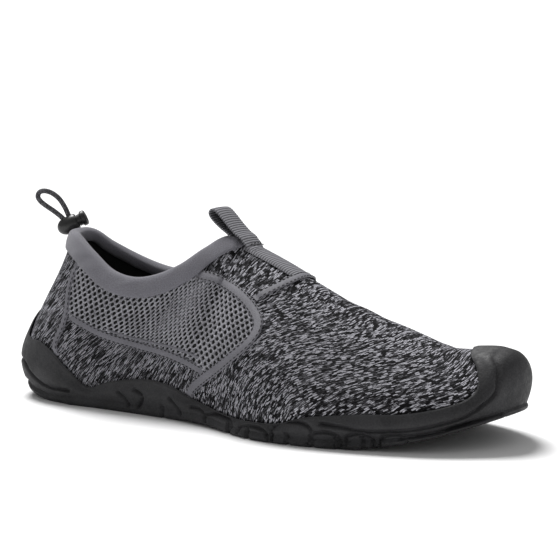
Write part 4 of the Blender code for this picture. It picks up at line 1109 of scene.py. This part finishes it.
def side_relief(q, z):
    """Depth of the channels and of the heel lug's step in the rubber's side."""
    depth = np.zeros_like(q)
    x = q * TOE_RUN
    for channel in CHANNELS:
        route = smooth_route([(spot.q * TOE_RUN, spot.z) for spot in channel], CHANNEL_POINTS)
        low, high = route.min(0) - 3 * CHANNEL_WIDTH, route.max(0) + 3 * CHANNEL_WIDTH
        near = (x > low[0]) & (x < high[0]) & (z > low[1]) & (z < high[1])
        gap = np.full(int(near.sum()), 1.0)
        for x0, z0 in route:
            gap = np.minimum(gap, (x[near] - x0) ** 2 + (z[near] - z0) ** 2)
        depth[near] = np.maximum(depth[near], CHANNEL_DEPTH * np.exp(-gap / CHANNEL_WIDTH**2))
    lug = np.interp(q, *zip(*HEEL_LUG))
    step = LUG_STEP * np.clip((lug - z) / LUG_SLOPE, 0.0, 1.0)
    return depth + step


def tread_depth(x, y):
    """Depth of the grooves and sipes at places on the underside, and the bite of a groove at the side."""
    lateral, medial = half_widths(x)
    middle, reach = (lateral + medial) / 2, (medial - lateral) / 2
    share = np.clip(np.abs((y - middle) / reach), 0.0, 1.05)
    depth, bite = np.zeros_like(x), np.zeros_like(x)
    for groove in GROOVES:
        gap = np.abs(x - groove.x * LENGTH - groove.sweep * LENGTH * share**2)
        cut = np.clip((GROOVE_WIDTH / 2 + GROOVE_SLOPE / 2 - gap) / GROOVE_SLOPE, 0.0, 1.0)
        run_out = 1.0 if groove.notch else np.clip((GROOVE_END - share) / GROOVE_END_RUN, 0.0, 1.0)
        depth = np.maximum(depth, GROOVE_DEPTH * cut * run_out)
        bite = np.maximum(bite, SIDE_BITE * cut * groove.notch)
    wave = x + SIPE_WAVE * np.sin(y / SIPE_WAVE_RUN * 2.0)
    sipe = np.abs(np.mod(wave / SIPE_PITCH, 1.0) - 0.5) * SIPE_PITCH
    field = np.clip((SIPE_FIELD - share) / SIPE_FIELD_RUN, 0.0, 1.0)
    sipes = SIPE_DEPTH * np.clip((SIPE_HALF - sipe) / SIPE_SLOPE, 0.0, 1.0) * field
    return np.maximum(depth, sipes), bite


def wall_rows(u):
    """Rows of points down the outside of the rubber, from inside its lip to its lower edge."""
    edge = rubber_edge(u)
    rows = [raised(u, edge + rise, np.full_like(u, CUP_GAP + thick))
            for rise, thick in ((-0.002, 0.0), (0.002, 0.0002), (0.004, 0.5 * RUBBER_LIP))]
    for s in np.linspace(0.0, 1.0, 42) ** 1.1:
        rounding = 1.0 - LIP_ROUNDING * np.clip(1.0 - s / LIP_RUN, 0.0, 1.0)
        rows.append(raised(u, edge * (1 - s), np.full_like(u, CUP_GAP + rubber_thickness(s) * rounding)))
    base = rows[-1]
    for drop in np.linspace(0.0, 1.0, 21)[1:]:
        flat = plan(u, np.full_like(u, np.interp(drop, *zip(*EDGE_INSET))))[0]
        under = ground(flat[:, 0])
        share = np.clip(drop / EDGE_DROP, 0.0, 1.0)
        level = base[:, :2] * (1 - share) + flat * share
        rows.append(np.column_stack([level, under + (base[:, 2] - under) * (1 - drop)]))
    return np.stack(rows, 0)


def filled(line, count):
    """Rows of points that fill a ring, from its lateral to its medial half."""
    half = len(line) // 2
    lateral, medial = line[:half + 1], line[half:][::-1]
    shares = np.linspace(0.0, 1.0, count)[:, None, None]
    return lateral[None] * (1 - shares) + medial[None] * shares


def make_outsole(rubber):
    """The cup sole: a moulded wall with channels, and a grooved tread."""
    u = both_sides(np.linspace(0.0, 1.0, 441))
    rows = wall_rows(u)
    q = np.broadcast_to(side_share(u), rows.shape[:2])
    out = np.broadcast_to(np.concatenate([plan(u)[1], np.zeros((len(u), 1))], -1), rows.shape)
    sunk = side_relief(q, rows[..., 2])
    sunk[:4] = 0.0
    sunk[4] *= 0.5
    depth, bite = tread_depth(rows[..., 0], rows[..., 1])
    low = np.clip((ground(rows[..., 0]) + NOTCH_HEIGHT - rows[..., 2]) / NOTCH_SLOPE, 0.0, 1.0)
    rows = rows - out * np.maximum(sunk, bite * low)[..., None]
    rows[-1, :, 2] += depth[-1]
    wall = lay_grid("outsole_rubber", rows[::-1], np.stack([q * TOE_RUN, rows[..., 2]], -1)[::-1])
    under = filled(rows[-1], 49)
    x, y = under[1:-1, :, 0], under[1:-1, :, 1]
    under[1:-1, :, 2] = ground(x) + tread_depth(x, y)[0]
    tread = lay_grid("tread", under, under[..., :2])
    edge = rubber_edge(u)
    cup = [rows[0]] + [raised(u, np.minimum(level, edge - 0.002), np.full_like(u, CUP_GAP))
                       for level in np.linspace(0.9, 0.0, 7)]
    corner = plan(u, np.full_like(u, RUBBER_WALL + TUCK))[0]
    cup.append(np.column_stack([corner, floor(corner[:, 0]) - GAP]))
    lining = lay_grid("cup", np.stack(cup, 0))
    bed = filled(cup[-1], 9)
    bed[1:-1, :, 2] = floor(bed[1:-1, :, 0]) - GAP
    piece = join("outsole_rubber", [wall, tread, lining, lay_grid("bed", bed)])
    dress(smooth(weld(piece), 32.0), [rubber], ["outsole"])


def make_insole(cloth):
    u = both_sides(np.linspace(0.0, 1.0, 121))
    edge = plan(u, np.full_like(u, RUBBER_WALL + TUCK + UPPER_WALL + 3 * GAP))[0]
    low = np.column_stack([edge, floor(edge[:, 0]) + FLOOR_GAP])
    wall = np.stack([low + np.array([0.0, 0.0, share * INSOLE_THICKNESS])
                     for share in (0.0, 0.5, 0.85, 1.0)], 0)
    parts = [lay_grid("insole_cloth", wall)]
    for line, rise in ((wall[0], 0.0), (wall[-1], 1.0)):
        bed = filled(line, 25)
        bed[1:-1, :, 2] = floor(bed[1:-1, :, 0]) + rise * INSOLE_THICKNESS + FLOOR_GAP
        parts.append(lay_grid("bed", bed, bed[..., :2]))
    piece = join("insole_cloth", parts)
    dress(smooth(weld(piece), 45.0), [cloth], ["insole"])


def lock_matrix():
    axis, up, facing = lock_frame()
    turn = Matrix((up, facing, axis)).transposed().to_4x4()
    return Matrix.Translation(Vector(LOCK_CENTRE) - Vector(ORIGIN)) @ turn


def turn_piece(name, profile):
    """Turn a piece from a disc by extruding and scaling it along the lock's axis."""
    bpy.ops.object.select_all(action="DESELECT")
    bpy.ops.mesh.primitive_circle_add(vertices=48, radius=profile[0][1], fill_type="NGON",
                                      location=(0.0, 0.0, profile[0][0]))
    piece = bpy.context.object
    piece.name = piece.data.name = name
    bpy.ops.object.transform_apply(location=True, rotation=True, scale=True)
    edit(piece)
    for (a0, r0), (a1, r1) in zip(profile, profile[1:]):
        bpy.ops.mesh.extrude_region_move(TRANSFORM_OT_translate={"value": (0.0, 0.0, a1 - a0)})
        bpy.ops.transform.resize(value=(r1 / r0, r1 / r0, 1.0), center_override=(0.0, 0.0, a1))
    leave_edit()
    piece.data.transform(lock_matrix())
    return piece


def slot_cut(piece, start, end):
    """Cut the slot for the two strands through a piece of the lock."""
    half = CORD_DIAMETER / 2 + PLUNGER_CLEARANCE
    bpy.ops.object.select_all(action="DESELECT")
    bpy.ops.mesh.primitive_cube_add(size=1.0)
    cutter = bpy.context.object
    cutter.data.transform(Matrix.Diagonal((0.020, 2 * half, end - start, 1.0)))
    cutter.data.transform(Matrix.Translation((0.0, 0.0, (start + end) / 2)))
    cutter.data.transform(lock_matrix())
    cut = piece.modifiers.new("slot", "BOOLEAN")
    cut.operation, cut.solver, cut.object = "DIFFERENCE", "EXACT", cutter
    settle(piece, cut)
    bpy.data.objects.remove(cutter, do_unlink=True)
    return piece


def make_lock(plastic):
    reach = STRAND_SPACING / 2 + CORD_DIAMETER / 2 + PLUNGER_CLEARANCE
    dome = [(-LOCK_BACK * math.cos(t) ** 0.9, LOCK_RADIUS * math.sin(t))
            for t in np.linspace(0.12, math.pi / 2, 16)]
    profile = dome + [(0.30 * LOCK_FRONT, 0.995 * LOCK_RADIUS), (0.70 * LOCK_FRONT, 0.95 * LOCK_RADIUS),
                      (0.92 * LOCK_FRONT, 0.90 * LOCK_RADIUS), (LOCK_FRONT, 0.84 * LOCK_RADIUS),
                      (LOCK_FRONT, BORE_RADIUS), (-BORE_END, BORE_RADIUS)]
    barrel = slot_cut(turn_piece("cord_lock_body", profile), -reach, reach)
    dress(smooth(barrel, 38.0), [plastic], ["lock_barrel"])
    shaft = BORE_RADIUS - PLUNGER_CLEARANCE
    inner_end = -BORE_END + PLUNGER_TRAVEL + PLUNGER_CLEARANCE
    head = LOCK_FRONT + PLUNGER_TRAVEL + PLUNGER_CLEARANCE
    tip = head + PLUNGER_HEAD_LENGTH
    profile = [(inner_end, shaft), (head, shaft), (head + 0.0001, 0.90 * PLUNGER_HEAD),
               (head + 0.0005, PLUNGER_HEAD), (tip - 0.0008, PLUNGER_HEAD),
               (tip - 0.0002, 0.93 * PLUNGER_HEAD),
               (tip, 0.85 * PLUNGER_HEAD), (tip, 0.68 * PLUNGER_HEAD), (tip - 0.0007, 0.52 * PLUNGER_HEAD),
               (tip - 0.0010, 0.2 * PLUNGER_HEAD)]
    plunger = slot_cut(turn_piece("cord_lock_button", profile), inner_end - 0.002, reach + PLUNGER_TRAVEL)
    dress(smooth(plunger, 38.0), [plastic], ["lock_plunger"], body="plunger")
    return barrel, plunger


def cord_route(count):
    half = STRAND_SPACING / 2
    through = [lock_point(half, rise, 0.0) for rise in (-STRAND_RUN, 0.0, STRAND_RUN)]
    loop = [lock_point(bend.along * CORD_DIAMETER, bend.up * CORD_DIAMETER, 0.0) for bend in CORD_LOOP]
    back = [lock_point(-half, rise, 0.0) for rise in (STRAND_RUN, 0.0, -STRAND_RUN)]
    route = [strand_end(half, 0), strand_end(half, 1), *through, *loop, *back, strand_end(-half, 1),
             strand_end(-half, 0)]
    return smooth_route(route, count)


def make_cord(braid):
    """The elastic cord, a braided tube along its route."""
    path = cord_route(150)
    way = unit(np.gradient(path, axis=0))
    over = unit(np.cross(way, np.array(lock_frame()[2])))
    across_way = np.cross(way, over)
    run = distances(path)
    turn = np.linspace(0.0, 2 * np.pi, 25)
    rows = np.stack([path + CORD_DIAMETER / 2 * (math.cos(t) * over + math.sin(t) * across_way)
                     for t in turn], 0)
    uv = np.stack(np.broadcast_arrays(run[None, :], turn[:, None] * CORD_DIAMETER / 2), -1)
    piece = smooth(fill_ends(lay_grid("elastic_cord", rows, uv)), 60.0)
    dress(piece, [braid], ["drawcord"])


FLOAT, COLOR, VECTOR = "NodeSocketFloat", "NodeSocketColor", "NodeSocketVector"


def add(tree, kind, inputs=None, **settings):
    """A node with its settings, and its inputs linked or set."""
    made = tree.nodes.new(kind)
    for key, value in settings.items():
        setattr(made, key, value)
    for key, value in (inputs or {}).items():
        if isinstance(value, bpy.types.NodeSocket):
            tree.links.new(value, made.inputs[key])
        else:
            made.inputs[key].default_value = value
    return made


def calc(tree, operation, first, second=0.0):
    return add(tree, "ShaderNodeMath", {0: first, 1: second}, operation=operation).outputs[0]


def plus(tree, first, second):
    return calc(tree, "ADD", first, second)


def times(tree, first, second):
    return calc(tree, "MULTIPLY", first, second)


def arch(tree, share):
    """Rises from 0 to 1 and falls back as a share goes from 0 to 1."""
    return calc(tree, "SINE", times(tree, share, math.pi))


def noise(tree, place, scale, detail):
    return add(tree, "ShaderNodeTexNoise", {"Vector": place, "Scale": scale, "Detail": detail}).outputs[0]


def mix(tree, share, low, high):
    return add(tree, "ShaderNodeMix", {0: share, 6: low, 7: high}, data_type="RGBA").outputs[2]


def new_effect(name, inputs, outputs):
    """A node group with named inputs and outputs."""
    tree = bpy.data.node_groups.new(name, "ShaderNodeTree")
    for label, kind, value in inputs:
        socket = tree.interface.new_socket(name=label, in_out="INPUT", socket_type=kind)
        if value is not None:
            socket.default_value = value
    for label, kind in outputs:
        tree.interface.new_socket(name=label, in_out="OUTPUT", socket_type=kind)
    return tree, tree.nodes.new("NodeGroupInput").outputs, tree.nodes.new("NodeGroupOutput").inputs


def ramp(tree, value, low, high):
    made = add(tree, "ShaderNodeMapRange", {"Value": value, "From Min": low, "From Max": high})
    made.interpolation_type = "SMOOTHSTEP"
    return made.outputs[0]


# Heather yarn: scale of the threads' waver, shift of a row's dashes, and streaks to a thread
SWAY_SCALE = 160.0
ROW_SHIFT = 37.0
STREAK_PACKING = 2.4


def heather_effect():
    """Yarn of mixed light and dark fibres in rows: dashes along the thread, round in section, with painted
    shade between the threads and between the dashes.
    """
    tree, given, result = new_effect("heather yarn", [
        ("Vector", VECTOR, None), ("Thread", FLOAT, 0.0009), ("Dash", FLOAT, 0.0034), ("Sway", FLOAT, 0.0),
        ("Dark", COLOR, None), ("Middle", COLOR, None), ("Light", COLOR, None)],
        [("Color", COLOR), ("Height", FLOAT)])
    place = add(tree, "ShaderNodeSeparateXYZ", {0: given["Vector"]})
    waver = noise(tree, given["Vector"], SWAY_SCALE, 2.0)
    sway = times(tree, calc(tree, "SUBTRACT", waver, 0.5), given["Sway"])
    over = calc(tree, "DIVIDE", plus(tree, place.outputs[0], sway), given["Thread"])
    row = calc(tree, "FLOOR", over)
    jitter = add(tree, "ShaderNodeTexWhiteNoise", {"W": row}, noise_dimensions="1D").outputs[0]
    along = plus(tree, calc(tree, "DIVIDE", place.outputs[1], given["Dash"]), times(tree, jitter, ROW_SHIFT))
    cell = add(tree, "ShaderNodeCombineXYZ", {0: row, 1: calc(tree, "FLOOR", along)}).outputs[0]
    chance = add(tree, "ShaderNodeTexWhiteNoise", {"Vector": cell}, noise_dimensions="2D").outputs[0]
    fine = add(tree, "ShaderNodeCombineXYZ", {0: times(tree, over, STREAK_PACKING), 1: along}).outputs[0]
    value = plus(tree, times(tree, chance, 0.50), noise(tree, fine, 1.0, 3.0))
    shade = mix(tree, ramp(tree, value, 0.63, 0.77), given["Dark"], given["Middle"])
    shade = mix(tree, ramp(tree, value, 0.82, 0.94), shade, given["Light"])
    across_thread = arch(tree, calc(tree, "FRACT", over))
    along_dash = calc(tree, "POWER", arch(tree, calc(tree, "FRACT", along)), 0.35)
    height = times(tree, across_thread, along_dash)
    # Painted shade: where the thread's height is low, between threads and at the ends of dashes, the colour
    # turns to Dark
    tree.links.new(mix(tree, ramp(tree, height, 0.0, 0.55), given["Dark"], shade), result["Color"])
    tree.links.new(height, result["Height"])
    return tree


def weave_effect():
    """Fine woven or knitted cloth: a small even grain with faint lighter and darker fibres."""
    tree, given, result = new_effect("fine cloth", [
        ("Vector", VECTOR, None), ("Pitch", FLOAT, 0.0005), ("Dark", COLOR, None), ("Light", COLOR, None)],
        [("Color", COLOR), ("Height", FLOAT)])
    scaled = add(tree, "ShaderNodeVectorMath", {0: given["Vector"]}, operation="SCALE")
    tree.links.new(calc(tree, "DIVIDE", 1.0, given["Pitch"]), scaled.inputs["Scale"])
    place = add(tree, "ShaderNodeSeparateXYZ", {0: scaled.outputs[0]})
    one = calc(tree, "SINE", times(tree, place.outputs[0], math.tau))
    two = calc(tree, "SINE", times(tree, place.outputs[1], math.tau))
    grain = times(tree, one, two)
    fibre = noise(tree, scaled.outputs[0], 0.9, 3.0)
    cloud = noise(tree, given["Vector"], 60.0, 2.0)
    value = plus(tree, times(tree, fibre, 0.75), times(tree, cloud, 0.25))
    value = plus(tree, value, times(tree, grain, 0.08))
    tree.links.new(mix(tree, ramp(tree, value, 0.30, 0.72), given["Dark"], given["Light"]), result["Color"])
    tree.links.new(plus(tree, times(tree, grain, 0.5), fibre), result["Height"])
    return tree


def ribbed_effect():
    """Ribbed webbing: a shaded valley between one rib and the next, and fine fibres across."""
    tree, given, result = new_effect("ribbed webbing", [
        ("Vector", VECTOR, None), ("Pitch", FLOAT, 0.0013), ("Dark", COLOR, None), ("Light", COLOR, None)],
        [("Color", COLOR), ("Height", FLOAT)])
    place = add(tree, "ShaderNodeSeparateXYZ", {0: given["Vector"]})
    rib = arch(tree, calc(tree, "FRACT", calc(tree, "DIVIDE", place.outputs[0], given["Pitch"])))
    fibre = noise(tree, given["Vector"], 1500.0, 2.0)
    value = plus(tree, rib, times(tree, fibre, 0.5))
    tree.links.new(mix(tree, ramp(tree, value, 0.30, 1.15), given["Dark"], given["Light"]), result["Color"])
    tree.links.new(plus(tree, rib, times(tree, fibre, 0.4)), result["Height"])
    return tree


def moulded_effect():
    """Moulded rubber or plastic: fine grain, faint scuffs and patches that shine a little more."""
    tree, given, result = new_effect("moulded grain", [
        ("Vector", VECTOR, None), ("Grain", FLOAT, 0.0006), ("Dark", COLOR, None), ("Light", COLOR, None),
        ("Smoothest", FLOAT, 0.45), ("Roughest", FLOAT, 0.65)],
        [("Color", COLOR), ("Roughness", FLOAT), ("Height", FLOAT)])
    grain = noise(tree, given["Vector"], calc(tree, "DIVIDE", 1.0, given["Grain"]), 3.0)
    patch = noise(tree, given["Vector"], 55.0, 4.0)
    scuff = noise(tree, given["Vector"], 320.0, 5.0)
    tone = plus(tree, times(tree, patch, 0.4), times(tree, scuff, 0.2))
    tone = plus(tree, tone, times(tree, grain, 0.4))
    tree.links.new(mix(tree, ramp(tree, tone, 0.32, 0.72), given["Dark"], given["Light"]), result["Color"])
    spread = add(tree, "ShaderNodeMapRange", {"Value": scuff, "From Min": 0.3, "From Max": 0.7,
                                              "To Min": given["Smoothest"], "To Max": given["Roughest"]})
    tree.links.new(spread.outputs[0], result["Roughness"])
    tree.links.new(plus(tree, times(tree, grain, 0.5), times(tree, scuff, 0.5)), result["Height"])
    return tree


def grey(value, tint=(1.0, 1.0, 1.0)):
    """A colour from the brightness it shows in plain light, 0 to 255."""
    share = value / 255.0
    linear = ((share + 0.055) / 1.055) ** 2.4
    return (linear * tint[0], linear * tint[1], linear * tint[2], 1.0)


def new_finish(name, effect, settings, roughness, bump, sheen=0.0, shine=0.5, coords="UV", turn=0.0):
    """A material whose colour and relief come from one of the effects."""
    material = bpy.data.materials.new(name)
    material.use_nodes = True
    tree = material.node_tree
    shader = tree.nodes["Principled BSDF"]
    shader.inputs["Roughness"].default_value = roughness
    shader.inputs["Sheen Weight"].default_value = sheen
    shader.inputs["Sheen Roughness"].default_value = 0.4
    shader.inputs["Specular IOR Level"].default_value = shine
    place = tree.nodes.new("ShaderNodeTexCoord").outputs[coords]
    if turn:
        place = add(tree, "ShaderNodeMapping", {"Vector": place, "Rotation": (0.0, 0.0, turn)}).outputs[0]
    group = add(tree, "ShaderNodeGroup", node_tree=effect)
    tree.links.new(place, group.inputs["Vector"])
    for label, value in settings.items():
        group.inputs[label].default_value = value
    tree.links.new(group.outputs["Color"], shader.inputs["Base Color"])
    if "Roughness" in group.outputs:
        tree.links.new(group.outputs["Roughness"], shader.inputs["Roughness"])
    relief_node = add(tree, "ShaderNodeBump", {"Height": group.outputs["Height"], "Distance": bump,
                                               "Strength": 1.0})
    tree.links.new(relief_node.outputs[0], shader.inputs["Normal"])
    return material


# Tints of the greys
COOL = (0.98, 0.97, 1.06)
VIOLET = (0.98, 0.96, 1.10)


def make_materials():
    heather, weave, moulded = heather_effect(), weave_effect(), moulded_effect()

    def cloth(name, pitch, dark, light, roughness, bump, **more):
        settings = {"Pitch": pitch, "Dark": dark, "Light": light}
        return new_finish(name, weave, settings, roughness, bump, **more)

    return {
        # Dark in the heather yarn of the knit and of the braid is both the dark fibres' colour and the
        # painted shade between threads
        "knit": new_finish("heather_knit", heather, {
            "Thread": 0.00044, "Dash": 0.0027, "Sway": 0.0009, "Dark": grey(21, COOL),
            "Middle": grey(84, COOL), "Light": grey(200, COOL)}, 0.9, 0.00035, shine=0.1),
        "lining": cloth("lining_cloth", 0.0008, grey(22), grey(40), 0.9, 0.0002),
        "binding": cloth("binding_cloth", 0.00055, grey(98, VIOLET), grey(126, VIOLET), 0.75, 0.00012,
                         sheen=0.25),
        "tape": cloth("tape_cloth", 0.00045, grey(88, VIOLET), grey(122, VIOLET), 0.55, 0.00008, sheen=0.1),
        "net": cloth("net_thread", 0.0007, grey(100, COOL), grey(186, COOL), 0.8, 0.00020, sheen=0.1,
                     coords="Object"),
        "hole": cloth("net_backing", 0.0006, grey(8), grey(20), 0.9, 0.0001, coords="Object"),
        "webbing": new_finish("ribbed_webbing", ribbed_effect(), {
            "Pitch": RIB_PITCH, "Dark": grey(62, COOL), "Light": grey(130, COOL)}, 0.8, 0.00012),
        "rubber": new_finish("moulded_rubber", moulded, {
            "Grain": 0.0008, "Dark": grey(22, COOL), "Light": grey(52, COOL), "Smoothest": 0.55,
            "Roughest": 0.80}, 0.6, 0.00030, shine=0.4, coords="Object"),
        "insole": cloth("insole_cloth", 0.0009, grey(20), grey(38), 0.9, 0.0002),
        "plastic": new_finish("lock_plastic", moulded, {
            "Grain": 0.0004, "Dark": grey(24), "Light": grey(32), "Smoothest": 0.30,
            "Roughest": 0.42}, 0.35, 0.00003, coords="Object"),
        "braid": new_finish("cord_braid", heather, {
            "Thread": 0.00050, "Dash": 0.0011, "Dark": grey(58, COOL), "Middle": grey(80, COOL),
            "Light": grey(108, COOL)}, 0.8, 0.00018, turn=math.radians(38.0)),
        "thread": cloth("stitch_thread", 0.0004, grey(14), grey(28), 0.8, 0.00005, coords="Object")}


def make_camera():
    back = Vector((math.sin(CAMERA_AZIMUTH) * math.cos(CAMERA_ELEVATION),
                   -math.cos(CAMERA_AZIMUTH) * math.cos(CAMERA_ELEVATION), math.sin(CAMERA_ELEVATION)))
    target = Vector(CAMERA_TARGET) - Vector(ORIGIN)
    data = bpy.data.cameras.new("photo_view")
    data.lens = LENS
    data.sensor_width = SENSOR
    data.clip_start = 0.05
    camera = bpy.data.objects.new("photo_view", data)
    bpy.context.collection.objects.link(camera)
    camera.location = target + back * CAMERA_DISTANCE
    camera.rotation_euler = back.to_track_quat("Z", "Y").to_euler()
    bpy.context.scene.camera = camera


def make_studio():
    """A plain pale floor and soft light from above and from the heel's side."""
    bpy.ops.object.select_all(action="DESELECT")
    bpy.ops.mesh.primitive_plane_add(size=200.0)
    ground_plane = bpy.context.object
    ground_plane.name = ground_plane.data.name = "studio_floor"
    paper = bpy.data.materials.new("studio_paper")
    paper.use_nodes = True
    shader = paper.node_tree.nodes["Principled BSDF"]
    shader.inputs["Base Color"].default_value = (0.92, 0.92, 0.92, 1.0)
    shader.inputs["Roughness"].default_value = 0.9
    shader.inputs["Specular IOR Level"].default_value = 0.0
    ground_plane.data.materials.append(paper)
    world = bpy.context.scene.world or bpy.data.worlds.new("studio")
    bpy.context.scene.world = world
    world.use_nodes = True
    sky = world.node_tree.nodes["Background"]
    sky.inputs["Color"].default_value = (1.0, 1.0, 1.0, 1.0)
    sky.inputs["Strength"].default_value = WORLD_STRENGTH
    key = bpy.data.lights.new("softbox", "SUN")
    key.energy = KEY_STRENGTH
    key.angle = math.radians(KEY_SPREAD)
    softbox = bpy.data.objects.new("softbox", key)
    bpy.context.collection.objects.link(softbox)
    softbox.rotation_euler = (-Vector(KEY_WAY)).to_track_quat("Z", "Y").to_euler()
    bpy.context.scene.view_settings.view_transform = "Standard"


make_camera()
finishes = make_materials()
lock_barrel, lock_plunger = make_lock(finishes["plastic"])
make_cord(finishes["braid"])
make_outsole(finishes["rubber"])
make_insole(finishes["insole"])
make_upper(finishes["knit"], finishes["lining"])
make_binding(finishes["binding"])
make_tapes(finishes["tape"], finishes["thread"])
for side, word in ((-1, "lateral"), (1, "medial")):
    make_net(side, word, finishes["net"], finishes["hole"])
make_tail(finishes["webbing"], finishes["thread"])
make_loop(finishes["webbing"])
make_studio()
